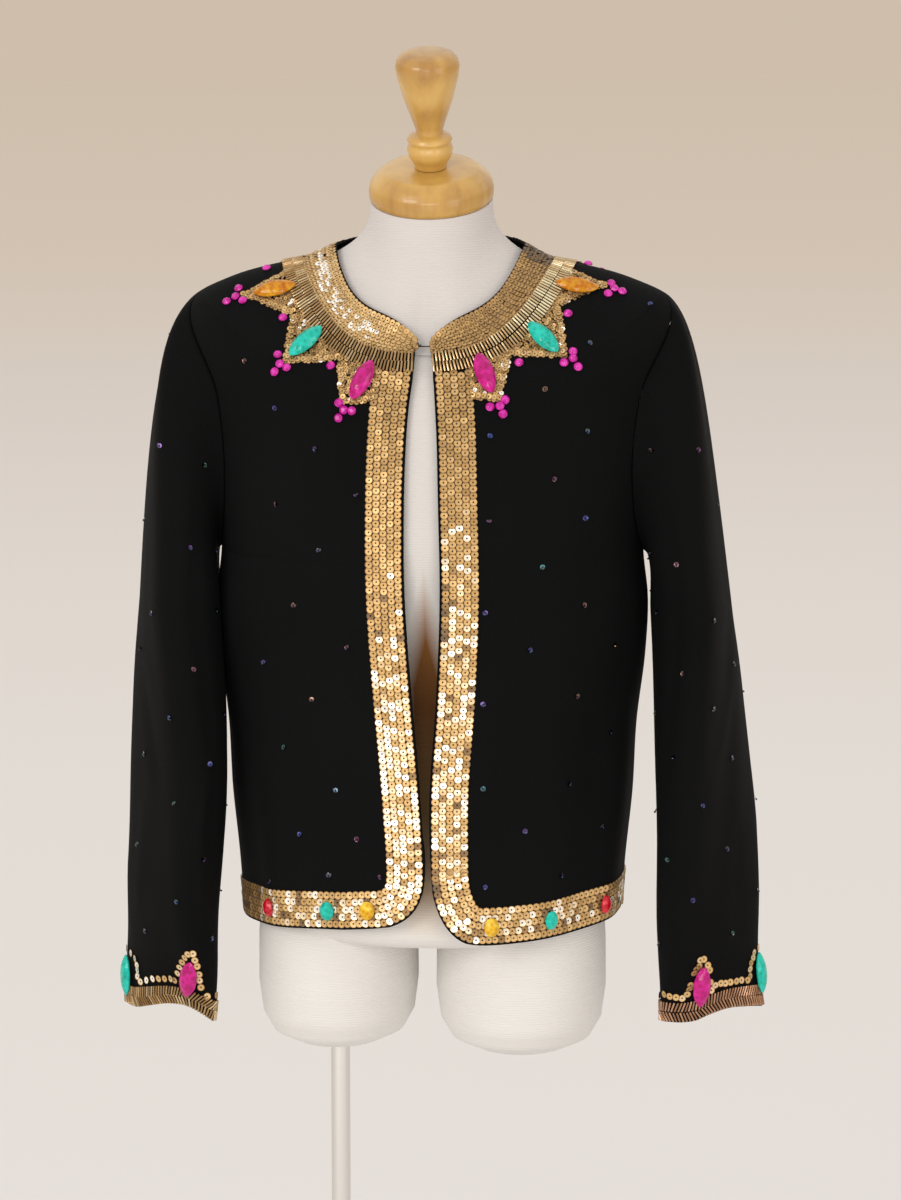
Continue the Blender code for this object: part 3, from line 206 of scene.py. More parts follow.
CUFF_LINES = {
    -1: named(
        "angle height",
        (-180, 0.7050), (-150, 0.7024), (-120, 0.7054), (-96, 0.7072), (-72, 0.7059), (-48, 0.7014),
        (-24, 0.7011), (0, 0.7043), (24, 0.7110), (48, 0.7174), (72, 0.7176), (96, 0.7128), (120, 0.7079),
        (144, 0.7079), (180, 0.7050),
    ),
    1: named(
        "angle height",
        (-180, 0.7118), (-156, 0.7117), (-132, 0.7103), (-108, 0.7075), (-84, 0.7037), (-48, 0.7046),
        (-12, 0.7070), (24, 0.7085), (48, 0.7088), (60, 0.7100), (72, 0.7137), (96, 0.7184), (120, 0.7176),
        (156, 0.7139), (180, 0.7118),
    ),
}
CUFF_FADE = 0.10
START_SLOPE = (0.87, 0.0, -0.50)
CAP_PULL_LOW = 0.010
CAP_LIFT_LOW = 0.018
CAP_PULLS = dict(zip((-1, 1), named("start inward lift", (0.036, 0.008, 0.107), (0.020, 0.016, 0.107))))
SLEEVE_START = 0.0006
BODY_CLEAR = 0.0032

# Star points: each one's foot and base along the yoke's edge, then its tip and its near flank's start
STAR_POINT = "place near far tip_out tip_along near_out near_along"
FRONT_STARS = {
    -1: named(
        STAR_POINT,
        (0.040, 0.0103, 0.0268, 0.0360, 0.0081, 0.0265, -0.0150),
        (0.090, 0.0302, 0.0426, 0.0354, 0.0015, 0.0, -0.0302),
        (0.150, 0.0379, 0.0182, 0.0395, 0.0093, 0.0, -0.0379),
    ),
    1: named(
        STAR_POINT,
        (0.040, 0.0099, 0.0283, 0.0337, 0.0024, 0.0243, -0.0172),
        (0.090, 0.0289, 0.0433, 0.0362, 0.0016, 0.0, -0.0289),
        (0.150, 0.0325, 0.0157, 0.0310, 0.0115, 0.0, -0.0325),
    ),
}
BACK_STARS = named(
    STAR_POINT,
    (0.040, 0.0370, 0.0270, 0.0350, 0.0000, 0.0, -0.0370),
    (0.089, 0.0270, 0.0270, 0.0350, 0.0000, 0.0, -0.0270),
    (0.137, 0.0270, 0.0255, 0.0350, 0.0000, 0.0, -0.0270),
)
CUFF_STONE_ANGLES = {-1: (42, 134, -82), 1: (63, 147, -80)}

# The dress form, as distances inside the cloth, and its stand
FORM_INSETS = named(
    "level front side back",
    (0.797, 0.015, 0.0140, 0.0100), (0.860, 0.018, 0.0120, 0.0060), (0.930, 0.027, 0.0240, 0.0200),
    (1.000, 0.028, 0.0380, 0.0280), (1.060, 0.016, 0.0300, 0.0200), (ARMPIT, 0.007, 0.0180, 0.0120),
    (1.165, 0.0055, 0.0140, 0.0080), (1.230, 0.0050, 0.0110, 0.0065), (1.290, 0.0050, 0.0060, 0.0060),
    (ARMHOLE_TOP, 0.0050, 0.0044, 0.0050), (OUTER_YOKE, 0.0055, 0.0030, 0.0050),
    (BAND_EDGE, 0.0080, 0.0049, 0.0070), (NECK, 0.0085, 0.0060, 0.0080),
)
FORM_LEVELS = (0.797, 0.840, 0.890, 0.940, 0.990, 1.040, ARMPIT, 1.150, 1.193, 1.229,
               1.264, 1.292, 1.306, ARMHOLE_TOP, OUTER_YOKE, YOKE_EDGE, BAND_EDGE, NECK)
FORM_COLUMNS = 96
PELVIS = ((0.776, 0.35), (0.778, 0.70), (0.783, 0.90), (0.790, 0.975))
THIGHS = named("x half_width bottom", (-0.0800, 0.0680, 0.6800), (0.0760, 0.0720, 0.6770))
THIGH_TOP = 0.815
THIGH_DEPTH = 0.082
THIGH_TOP_SCALE = 0.96
THIGH_SECTIONS = ((0.0, 0.30), (0.004, 0.58), (0.013, 0.83), (0.028, 0.95), (0.055, 1.0), (0.095, 0.995))
PLATE_CENTRE = Vector((0.001, -0.012, 1.3965))
PLATE_RADIUS = 0.0505
PLATE_TILT = math.radians(19)
NECK_STEPS = (0.04, 0.12, 0.20, 0.28, 0.37, 0.46, 0.58, 0.70, 0.85, 1.0)
GAP = 0.0003
CAP_PROFILE = ((0.0, 0.0), (0.0495, 0.0), (0.0512, 0.0025), (0.0515, 0.0080), (0.0502, 0.0140),
               (0.0465, 0.0195), (0.0410, 0.0235), (0.0395, 0.0250), (0.0300, 0.0262), (0.0, 0.0265))
FINIAL_PROFILE = ((0.0, 0.0265), (0.0130, 0.0265), (0.0140, 0.0305), (0.0178, 0.0370), (0.0188, 0.0430),
                  (0.0172, 0.0475), (0.0185, 0.0505), (0.0170, 0.0535), (0.0112, 0.0560), (0.0112, 0.0590),
                  (0.0145, 0.0690), (0.0200, 0.0850), (0.0250, 0.1040), (0.0262, 0.1130), (0.0250, 0.1185),
                  (0.0215, 0.1225), (0.0150, 0.1246), (0.0, 0.1250))
POLE_PLACE = (-0.0797, 0.004, 0.0)
POLE_RADIUS = 0.0082
COLLAR_PROFILE = ((0.0, 0.0), (0.0150, 0.0), (0.0155, 0.002), (0.0155, 0.020), (0.0140, 0.023),
                  (POLE_RADIUS, 0.025))
FOOT_THICK = 0.008
FOOT_PROFILE = ((0.0, 0.0), (0.178, 0.0), (0.180, 0.002), (0.180, 0.0055), (0.1775, FOOT_THICK),
                (0.0, FOOT_THICK))

# Sizes of the trims
SEQUIN = 0.0033
# How much darker each sequin's rim is painted: painted shade in the gaps between overlapping sequins
SEQUIN_RIM_SHADE = 0.45
FRONT_BAND_COLUMNS = 5
FRONT_COLUMN_PITCH = 0.00595
FRONT_COLUMN_FIRST = 0.0048
FRONT_ROW_PITCH = 0.00525
BAND_ROWS = 8
BAND_SEQUIN = 0.0029
BAND_PITCH = 0.0046
BORDER_SEQUIN = 0.0027
BORDER_PITCH = 0.0046
BORDER_INSET = 0.0022
FILL_SEQUIN = 0.0022
FILL_PITCH = 0.0027
FILL_TRIES = 5000
BUGLE_LENGTH = 0.0090
BUGLE_RADIUS = 0.00095
BUGLE_PITCH = 0.00280
YOKE_ROWS = (0.245, 0.745)
CUFF_ROWS = ((0.0052, -0.36), (0.0144, 0.36))
CUFF_SEQUIN = 0.0032
CUFF_PITCH = 0.0048
LOOSE_SEQUIN = 0.0023
LOOSE_BEAD = 0.0009
LOOSE_LIFT = 0.0007
PINK_STONE = 0.0037
PINK_LIFT = 0.0003
BACK_STONE_RISE = 0.045
STONE_SHAPES = {"long": (0.036, 0.016, 0.0055, 16, 0.30), "small": (0.0160, 0.0130, 0.0045, 12, 0.0)}

# The guessed scatter: rows, columns, the lowest row's height and the step between rows
BACK_SCATTER = (9, 5, 0.87, 0.045)
BACK_SCATTER_WIDTH = 2.4
SLEEVE_SCATTER = (11, 4, 0.775, 0.040)
SLEEVE_CAP_HEIGHT = 0.16

# Where the bands' sequins change: painted silver white glints of reflected light below a height, a dark
# stretch, the hem, its duller end, a patch of painted glints at the neck's left and a darker patch at its
# right with some sequins left out, painted glints at the left cuff's outer side, and a painted highlight on
# the yoke's bugles towards the shoulders
PAINTED_GLINT_START = {-1: 1.125, 1: 1.175}
PAINTED_GLINT_FADE = 0.16
PAINTED_GLINT_RUN = 0.055
DARK_STRETCHES = ((1.094, 1.043), (0.864, 0.833))
HEM_START = 0.045
HEM_TOP = 0.845
DULL_END = -0.138
PAINTED_GLINT_PATCH = (-0.095, -0.030)
PAINTED_GLINT_PATCH_ROWS = range(2, 6)
DARK_PATCH_X = 0.078
DARK_PATCH_Y = (-0.022, 0.015)
CUFF_PAINTED_GLINT_END = -0.232
YOKE_PAINTED_HIGHLIGHT = {-1: 0.15, 1: 0.45}
YOKE_HIGHLIGHT_ANGLE = 62
YOKE_HIGHLIGHT_SPREAD = 22

# Small stones near the stars, scattered sequins, and the sequins above the cuffs' beads, as the
# places where the photograph shows them
PINK_SPOTS = (
    (239, 289), (236, 297), (243, 301), (227, 302), (278, 355), (280, 364), (287, 368), (275, 372),
    (339, 403), (344, 410), (352, 411), (339, 418), (611, 284), (614, 289), (608, 294), (622, 292),
    (573, 352), (573, 359), (564, 363), (578, 367), (505, 400), (500, 406), (490, 407), (503, 414),
    (283, 318), (331, 366), (267, 269), (588, 265), (568, 314), (519, 363),
)
BODY_SPOTS = (
    (245, 361), (275, 408), (315, 449), (356, 495), (276, 504), (319, 550), (294, 605), (347, 647),
    (264, 662), (312, 699), (284, 747), (336, 790), (300, 834), (357, 839), (270, 882), (329, 875),
    (380, 877), (590, 343), (545, 389), (490, 436), (587, 431), (554, 479), (489, 521), (585, 518),
    (542, 567), (584, 605), (485, 613), (530, 650), (614, 645), (577, 696), (483, 704), (610, 732),
    (569, 784), (483, 789), (602, 826), (525, 831), (561, 876), (485, 887), (650, 304),
)
CUFF_SPOTS = {
    -1: (
        (127.5, 948), (131.5, 953), (135.5, 958.5), (137.5, 965), (138, 970), (138, 976), (141, 981.5),
        (147, 980), (153, 978.5), (159, 978.5), (165, 978.5), (171, 978.5), (175, 980), (178, 973),
        (180, 967), (182.5, 962), (185, 957.5), (188, 954), (193, 953.5), (195, 960), (197, 966),
        (199, 974), (199.5, 980), (201, 987), (207, 996), (215.5, 995),
    ),
    1: (
        (659.5, 992), (664.5, 994), (670, 996), (676, 997), (682, 998), (687, 994), (689, 989),
        (690.5, 985), (694, 973), (696, 969), (699, 966), (700, 960), (703.5, 959), (707.5, 965),
        (709.5, 970), (710, 982), (711, 990), (715, 985), (720.5, 983), (725, 983), (730, 982),
        (736, 981), (741, 980), (747, 980), (749.5, 976), (749.5, 969), (750.5, 963), (752.5, 957.5),
        (753.5, 952.5), (757.5, 947.5),
    ),
}

# The sequin line round the hidden side of a cuff: its height, and how it climbs round a stone
CUFF_LINE_HEIGHT = 0.0225
CUFF_CLIMB = ((-0.0130, 0.0), (-0.0100, 0.0020), (-0.0085, 0.0100), (-0.0060, 0.0180), (0.0, 0.0225),
              (0.0060, 0.0180), (0.0085, 0.0100), (0.0100, 0.0020), (0.0130, 0.0))

# Stones, by colour along each yoke side, each cuff and the hem
YOKE_COLOURS = ("magenta", "teal", "amber", "amber", "teal", "magenta")
CUFF_COLOURS = ("magenta", "teal", "amber")
HEM_COLOURS = ("red", "teal", "yellow", "yellow", "teal", "red")

# The floor's rings, its colours by distance, darkening and warming far off as a painted falloff of light, and
# the light's colours by height in the sky
FLOOR_RINGS = (0.5, 1.0, 2.0, 4.0, 8.0, 20.0, 80.0, 400.0)
FLOOR_MIDDLE = 13.0
FLOOR_COLOURS_WITH_PAINTED_FALLOFF = ((0.12, (0.76, 0.735, 0.715)), (0.25, (0.775, 0.745, 0.715)), (0.35, (0.765, 0.72, 0.68)),
                 (0.50, (0.705, 0.65, 0.605)), (0.67, (0.67, 0.58, 0.49)), (1.0, (0.637, 0.539, 0.443)))
SKY_COLOURS = ((0.0, (0.624, 0.515, 0.413)), (0.06, (0.624, 0.515, 0.413)), (0.35, (0.95, 0.92, 0.88)),
               (1.0, (1.0, 0.98, 0.96)))
LAMPS = named(
    "name place target size power colour",
    ("key", (-2.0, -3.0, 2.3), (0.0, 0.0, 1.1), (1.6, 1.6), 45.0, (1.0, 0.98, 0.95)),
    ("fill", (2.4, -2.4, 1.5), (0.0, 0.0, 1.0), (1.4, 1.8), 16.0, (1.0, 0.97, 0.93)),
    ("low", (0.0, -4.2, 1.1), (0.0, 0.0, 0.8), (2.4, 0.8), 27.0, (1.0, 1.0, 1.0)),
)

# Knit stitches
WALE = 0.0014
COURSE = 0.0011
STITCH_SLANT = 1.6
KNIT_COLOURS = ((0.2, (0.0012, 0.0013, 0.0014)), (1.0, (0.0034, 0.0035, 0.0037)))

# Metal and glass colours by each sequin's or bead's shade; the sequins' silver white end is used for painted
# glints of reflected light, and the bugles' pale end for a painted highlight
SEQUIN_COLOURS = ((0.0, (0.045, 0.040, 0.036)), (0.2, (0.20, 0.105, 0.042)), (0.45, (0.50, 0.30, 0.105)),
                  (0.65, (0.70, 0.47, 0.21)), (0.85, (0.86, 0.76, 0.60)), (1.0, (1.0, 0.99, 0.97)))
SEQUIN_WEAR = (0.42, 0.26, 0.10)
DARK_COLOURS = ((0.0, (0.012, 0.06, 0.30)), (0.3, (0.09, 0.02, 0.16)), (0.55, (0.01, 0.16, 0.14)),
                (0.8, (0.14, 0.03, 0.09)), (1.0, (0.20, 0.11, 0.04)))
BUGLE_COLOURS = {
    "bronze": ((0.13, 0.068, 0.022), (0.38, 0.225, 0.078), (0.86, 0.76, 0.50)),
    "copper": ((0.16, 0.070, 0.030), (0.40, 0.205, 0.105), (0.66, 0.42, 0.27)),
}
GEM_COLOURS = {
    "amber": ((0.34, 0.05, 0.0002), (0.46, 0.15, 0.0003), (0.60, 0.29, 0.002)),
    "teal": ((0.001, 0.22, 0.17), (0.002, 0.38, 0.29), (0.012, 0.52, 0.42)),
    "magenta": ((0.22, 0.0004, 0.07), (0.38, 0.001, 0.13), (0.56, 0.006, 0.24)),
    "pink": ((0.28, 0.002, 0.14), (0.44, 0.005, 0.24), (0.66, 0.04, 0.42)),
    "yellow": ((0.38, 0.13, 0.002), (0.64, 0.34, 0.006), (0.80, 0.56, 0.05)),
    "red": ((0.16, 0.001, 0.004), (0.42, 0.003, 0.012), (0.66, 0.02, 0.04)),
}
WOOD_COLOURS = ((0.2, (0.34, 0.165, 0.034)), (0.5, (0.50, 0.285, 0.062)), (0.85, (0.62, 0.385, 0.105)))

# The form's jersey: its line pitch, its colours from its thighs to its neck, which darken upwards as a
# painted shade over the chest and neck, and its darker flecks
JERSEY_LINE = 0.0021
FORM_LOW = 0.70
FORM_HIGH = 1.36
FORM_COLOURS_WITH_PAINTED_SHADE = ((0.0, (0.68, 0.665, 0.645)), (0.25, (0.67, 0.65, 0.625)), (0.5, (0.60, 0.585, 0.565)),
                (1.0, (0.575, 0.540, 0.520)))
JERSEY_FLECK = (0.45, 0.41, 0.37)

# The painted amber shadow on the form between the fronts, with warm bounce light painted into it, from its
# lowest level up to its narrow tip
PAINTED_SHADOW_LOW = 0.790
PAINTED_SHADOW_HIGH = 1.14
PAINTED_SHADOW_X = 0.004
PAINTED_SHADOW_REACH = 0.026
PAINTED_SHADOW_TIP_REACH = -0.008
PAINTED_SHADOW_NARROWS = 0.60
PAINTED_SHADOW_SOFT = 0.016
PAINTED_SHADOW_FRONT = (-0.06, -0.04)
PAINTED_SHADOW_START = 0.12
PAINTED_SHADOW_COLOURS = ((0.0, (0.62, 0.50, 0.37)), (0.10, (0.50, 0.36, 0.24)), (0.30, (0.20, 0.115, 0.045)),
                 (0.55, (0.125, 0.045, 0.008)), (0.78, (0.24, 0.090, 0.012)), (1.0, (0.50, 0.36, 0.22)))


# Small helpers for arrays

def unit(vectors):
    return vectors / np.linalg.norm(vectors, axis=-1, keepdims=True)


def curve_through(table, where):
    """Smooth values of a table's later columns at values of its first column."""
    rows = np.array(table, float)
    keys = rows[:, 0]
    values = rows[:, 1:]
    slopes = np.gradient(values, keys, axis=0)
    where = np.clip(np.asarray(where, float), keys[0], keys[-1])
    low = np.minimum(np.searchsorted(keys, where, side="right") - 1, len(keys) - 2)
    span = keys[low + 1] - keys[low]
    t = (where - keys[low]) / span
    ease = (t * t * (3 - 2 * t))[..., None]
    start = (t * (1 - t) ** 2 * span)[..., None]
    end = (t * t * (t - 1) * span)[..., None]
    return values[low] * (1 - ease) + values[low + 1] * ease + slopes[low] * start + slopes[low + 1] * end


def columns_at(table, where):
    return np.moveaxis(curve_through(table, where), -1, 0)


def finer(values, parts):
    """The values with more of them, evenly spaced, in each gap."""
    made = []
    for low, high in zip(values, values[1:]):
        made += [low + (high - low) * step / parts for step in range(parts)]
    return made + [values[-1]]


def run_lengths(points):
    """How far along a line of points each of them lies."""
    return np.concatenate([[0.0], np.cumsum(np.linalg.norm(np.diff(points, axis=0), axis=1))])


def resampled(points, pitch):
    """Evenly spaced points of a line, with the place of each in the line's own steps."""
    lengths = run_lengths(points)
    wanted = np.linspace(0.0, lengths[-1], max(2, int(round(lengths[-1] / pitch)) + 1))
    places = np.interp(wanted, lengths, np.arange(len(points)))
    return np.stack([np.interp(wanted, lengths, points[:, axis]) for axis in range(3)], axis=1), places


def circle(radius, turns, height=0.0):
    return np.stack([radius * np.cos(turns), radius * np.sin(turns), 0 * turns + height], axis=1)


# The cloth's surface

def ridge(angle, middle, spread):
    """A smooth ridge of height 1 at an angle in degrees."""
    away = (angle - middle + 180) % 360 - 180
    return np.exp(-(away / spread) ** 2)


def swell(folds, creases, angle, height):
    """How far folds and creases push the cloth out at angles in degrees and heights."""
    folded = 0
    for fold in folds:
        up = np.clip((fold.high - height) / FOLD_FADE, 0, 1)
        down = np.clip((height - fold.low) / FOLD_FADE + 0.6, 0, 1)
        folded = folded + fold.depth * ridge(angle, fold.angle, fold.spread) * up * down
    creased = 0
    for crease in creases:
        t = np.clip((height - crease.low) / (crease.high - crease.low), 0, 1)
        middle = crease.angle_low + (crease.angle_high - crease.angle_low) * t
        creased = creased + crease.depth * ridge(angle, middle, crease.spread) * np.sin(math.pi * t) ** 0.8
    return folded + creased


def neck_rise(s):
    """How far the neckline has risen from its low point: 0 there, and 1 at either side."""
    side = np.copysign(1.0, s - NECK_TIP_PLACE)
    here, full = (1 - np.exp(-np.abs(end - NECK_TIP_PLACE) / NECK_TIP_WIDTH) for end in (s, side))
    return here / full


def body_points(theta, level, folded=True):
    """Points of the body's outer surface."""
    theta, level = np.broadcast_arrays(np.asarray(theta, float), np.asarray(level, float))
    columns = columns_at(BODY_RINGS, level)
    z_front, z_side, z_back, width, front, back, tip, power, back_power, middle = columns
    s = np.sin(theta)
    c = np.cos(theta)
    reach = np.maximum(np.abs(s), 1e-9)
    rise = tip * neck_rise(s) + (1 - tip) * reach ** power
    ahead = c > 0
    z = np.where(ahead, z_front + (z_side - z_front) * rise, z_back + (z_side - z_back) * reach ** back_power)
    x = middle + width * s
    y = np.where(ahead, -front * c, -back * c)
    if folded:
        out = swell(BODY_FOLDS, BODY_CREASES, np.degrees(theta), z)
        flat = np.hypot(x, y)
        x = x + x / flat * out
        y = y + y / flat * out
    return np.stack([x, y, z], axis=-1)


def body_normals(theta, level, folded=True):
    step = 1e-3
    along = body_points(theta + step, level, folded) - body_points(theta - step, level, folded)
    high = body_points(theta, np.minimum(level + step, NECK), folded)
    return unit(np.cross(along, high - body_points(theta, level - step, folded)))


def edge_x(side, level):
    return curve_through(OPENING, level)[..., 0 if side < 0 else 1]


def angle_at(side, x, level):
    """Angles, counted up from the front on one side, where the cloth has a distance x from x = 0."""
    _, _, _, width, _, _, _, _, _, middle = columns_at(BODY_RINGS, level)
    return np.arcsin((x - middle * side) / width)


def hem_height(theta):
    wrapped = (np.degrees(theta) + 180) % 360 - 180
    return curve_through(HEM_LINE, wrapped)[..., 0]


def corner_hem(side):
    """The height of the hem beside a front corner."""
    return float(hem_height(0.1 * side))


def corner_lift(distance):
    """How much higher the rounded front corner lies than the hem."""
    left = np.maximum(0.0, 1 - distance / CORNER_WIDTH)
    return CORNER_HEIGHT * (1 - np.sqrt(1 - left * left))


def body_rows():
    """Each row as its height above the hem, its level, and its armhole reach."""
    rows = [(height, None, 0.0) for height in finer(HEM_ROWS, ROW_PARTS)]
    rows += [(None, level, 0.0) for level in finer(BODY_ROWS, ROW_PARTS)[:-1]]
    steps = ARMHOLE_STEPS * ARMHOLE_PARTS
    for step in range(steps + 1):
        turn = math.pi * step / steps
        level = ARMPIT + (ARMHOLE_TOP - ARMPIT) * (1 - math.cos(turn)) / 2
        rows.append((None, level, ARMHOLE_SPREAD * math.sin(turn)))
    return rows + [(None, level, 0.0) for level in finer(NECK_ROWS, ROW_PARTS - 1)[1:]]


def row_levels(height, level, theta, distance):
    if height is None:
        return np.full(len(theta), level)
    hem = hem_height(theta)
    low = hem + corner_lift(distance)
    part = min(1.0, height / HEM_JOIN)
    return low + part * (hem + HEM_JOIN - low) + max(0.0, height - HEM_JOIN)


def end_dense(part):
    """Spaces columns closer together at both ends of a row."""
    return part - END_DENSITY * np.sin(2 * math.pi * part) / (2 * math.pi)


def front_places(side):
    """Theta and level of each point of a front panel, with theta rising along a row."""
    rows = []
    offsets = np.array(finer(EDGE_COLUMNS, 2))
    parts = end_dense(np.arange(1, FRONT_COLUMNS + 1) / FRONT_COLUMNS)
    for height, level, reach in body_rows():
        guess = level if level is not None else corner_hem(side) + height
        near = angle_at(side, edge_x(side, guess) * side + offsets, guess)
        far = math.pi / 2 - max(reach, SEAM_ANGLE)
        theta = side * np.concatenate([near, near[-1] + (far - near[-1]) * parts])
        distance = np.concatenate([offsets, offsets[-1] + FRONT_REACH * parts])
        rows.append((theta[::side], row_levels(height, level, theta, distance)[::side]))
    return [np.array(values) for values in zip(*rows)]


def back_places():
    rows = []
    parts = end_dense(np.arange(BACK_COLUMNS + 1) / BACK_COLUMNS)
    for height, level, reach in body_rows():
        start = math.pi / 2 + max(reach, SEAM_ANGLE)
        theta = start + (2 * math.pi - 2 * start) * parts
        rows.append((theta, row_levels(height, level, theta, CORNER_WIDTH)))
    return [np.array(values) for values in zip(*rows)]


def sleeve_ring(side, angle, z):
    """Points of a sleeve's ring on the +X side."""
    x, y, long, short, yaw = columns_at(SLEEVES[side], z)
    turn = np.radians(yaw)
    a = np.radians(angle)
    out = swell(SLEEVE_FOLDS[side], SLEEVE_CREASES[side], angle, z)
    forward = (long + out) * np.cos(a)
    outward = (short + out) * np.sin(a)
    px = x - forward * np.sin(turn) + outward * np.cos(turn)
    py = y - forward * np.cos(turn) - outward * np.sin(turn)
    _, _, _, width, front, back, _, _, _, _ = columns_at(BODY_RINGS, np.minimum(z, ARMPIT))
    depth = np.where(py < 0, front, back) + BODY_CLEAR
    inside = np.maximum(0.0, 1 - (py / depth) ** 2)
    least = (width + BODY_CLEAR) * np.sqrt(inside)
    return np.stack([np.maximum(px, least), py, z + 0 * px], axis=-1)


def cuff_shift(side, angle, z):
    """How far a row near the cuff follows the cuff's uneven edge."""
    fade = np.maximum(0.0, 1 - (z - CUFF_EDGE[side]) / CUFF_FADE)
    around = (angle + 180) % 360 - 180
    return (curve_through(CUFF_LINES[side], around)[..., 0] - CUFF_EDGE[side]) * fade


def sleeve_points(side, angle, z):
    """Points of a sleeve's surface below its cap."""
    angle, z = np.broadcast_arrays(np.asarray(angle, float), np.asarray(z, float))
    points = sleeve_ring(side, angle, z)
    points[..., 2] += cuff_shift(side, angle, z)
    points[..., 0] *= side
    return points


def sleeve_cap(side, angle, t):
    """Points between the armhole and the sleeve's first full ring."""
    sine = np.sin(np.radians(angle + 90))
    rise = (1 + np.sin(np.radians(angle))) / 2
    slope = np.array(START_SLOPE) / np.linalg.norm(START_SLOPE)
    level = ARMPIT + (ARMHOLE_TOP - ARMPIT) * rise
    mirror = np.array([side, 1.0, 1.0])
    start = body_points(side * (math.pi / 2 - ARMHOLE_SPREAD * sine), level) * mirror + slope * SLEEVE_START
    end = sleeve_ring(side, angle, np.full(len(angle), SLEEVE_TOP_RING))
    pull = CAP_PULLS[side]
    first = start + slope * (CAP_PULL_LOW + pull.start * rise)[:, None]
    last = end + np.stack([-pull.inward * rise, 0 * rise, CAP_LIFT_LOW + pull.lift * rise], axis=-1)
    u = 1 - t
    return (start * u ** 3 + first * (3 * u * u * t) + last * (3 * u * t * t) + end * t ** 3) * mirror


def sleeve_grid(side):
    """Outer points of a sleeve, from the cuff up to the armhole."""
    steps = ARMHOLE_STEPS * ARMHOLE_PARTS
    angles = -90 + 180 * np.arange(2 * steps) / steps
    edge = CUFF_EDGE[side]
    heights = finer((edge, edge + 0.001, edge + CUFF_BAND) + SLEEVE_ROWS, ROW_PARTS)
    rows = [sleeve_points(side, angles, z) for z in heights]
    rows += [sleeve_cap(side, angles, t) for t in finer(CAP_STEPS, ROW_PARTS)[-2::-1]]
    return np.array(rows)[:, ::side]


def tube_normals(grid):
    """Outward normals of a closed tube's grid."""
    along = np.roll(grid, -1, axis=1) - np.roll(grid, 1, axis=1)
    return unit(np.cross(along, np.gradient(grid, axis=0)))


# Meshes

def add_object(name, data):
    thing = bpy.data.objects.new(name, data)
    bpy.context.scene.collection.objects.link(thing)
    return thing


def new_object(name, points, faces, finish):
    mesh = bpy.data.meshes.new(name)
    mesh.from_pydata(np.reshape(points, (-1, 3)).tolist(), [], faces)
    mesh.materials.append(finish)
    return add_object(name, mesh)


def place_piece(thing, nodes=()):
    """Puts a piece on the part's one body, and hides the solids it stands for."""
    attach(thing, "root")
    if nodes:
        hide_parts(*nodes)


def grid_faces(rows, columns, wrap, first=0, flip=False):
    """Four-sided faces of a grid, as indices."""
    row, column = np.meshgrid(np.arange(rows - 1), np.arange(columns if wrap else columns - 1), indexing="ij")
    beside = (column + 1) % columns
    faces = np.stack([row * columns + column, row * columns + beside,
                      (row + 1) * columns + beside, (row + 1) * columns + column], axis=-1)
    faces = faces.reshape(-1, 4) + first
    return faces[:, ::-1] if flip else faces


def rim_faces(rows, columns, wrap):
    """Faces that join the outer and inner grids along their open edges."""
    bottom = np.arange(columns)
    top = (rows - 1) * columns + bottom
    if wrap:
        loops = [np.append(bottom, bottom[0]), np.append(top, top[0])[::-1]]
    else:
        left = np.arange(rows) * columns
        loops = [np.concatenate([bottom, left[1:] + columns - 1, top[-2::-1], left[-2::-1]])]
    inner = rows * columns
    return np.array([(b, a, a + inner, b + inner) for loop in loops for a, b in zip(loop, loop[1:])])


def shell(name, outer, normals, finish, wrap=False):
    """A thin closed cloth between a grid and the same grid moved in, with a map in metres."""
    rows, columns = outer.shape[:2]
    faces = np.concatenate([grid_faces(rows, columns, wrap),
                            grid_faces(rows, columns, wrap, rows * columns, flip=True),
                            rim_faces(rows, columns, wrap)])
    thing = new_object("cloth_" + name, [outer, outer - normals * WALL], faces.tolist(), finish)
    cloth_map(thing.data, outer, wrap, faces)
    thing.data.shade_smooth()
    place_piece(thing, [name])
    return thing


def cloth_map(mesh, outer, wrap, faces):
    """A map in metres: across by length round the widest row, up by length of a column."""
    across = np.linalg.norm(np.diff(outer, axis=1), axis=2).mean(axis=0)
    u = np.concatenate([[0.0], np.cumsum(across)])
    v = np.concatenate([[0.0], np.cumsum(np.linalg.norm(np.diff(outer, axis=0), axis=2).mean(axis=1))])
    grid = np.stack(np.meshgrid(v, u, indexing="ij"), axis=-1).reshape(-1, 2)[:, ::-1]
    corners = np.concatenate([grid, grid])[faces.reshape(-1)].reshape(-1, 4, 2)
    if wrap:
        span = u[-1] + across[0]
        seam = np.ptp(corners[:, :, 0], axis=1) > span / 2
        corners[:, :, 0] += span * (seam[:, None] & (corners[:, :, 0] < span / 2))
    mesh.uv_layers.new(name="cloth").data.foreach_set("uv", corners.reshape(-1))


def grid_tree(grid, wrap):
    """A search tree over a grid's surface."""
    faces = grid_faces(*grid.shape[:2], wrap)
    return BVHTree.FromPolygons(grid.reshape(-1, 3).tolist(), faces.tolist())


def body_tree():
    turns = np.linspace(-math.pi, math.pi, 541)
    levels = np.linspace(0.782, NECK, 260)
    return grid_tree(body_points(turns[None, :], levels[:, None]), False)


def places_and_normals(found):
    return [np.array(values) for values in zip(*[(place, normal) for place, normal, _, _ in found])]


def seated(tree, points):
    """The nearest places on the cloth to some points, and the cloth's normals there."""
    return places_and_normals([tree.find_nearest(Vector(point)) for point in points])


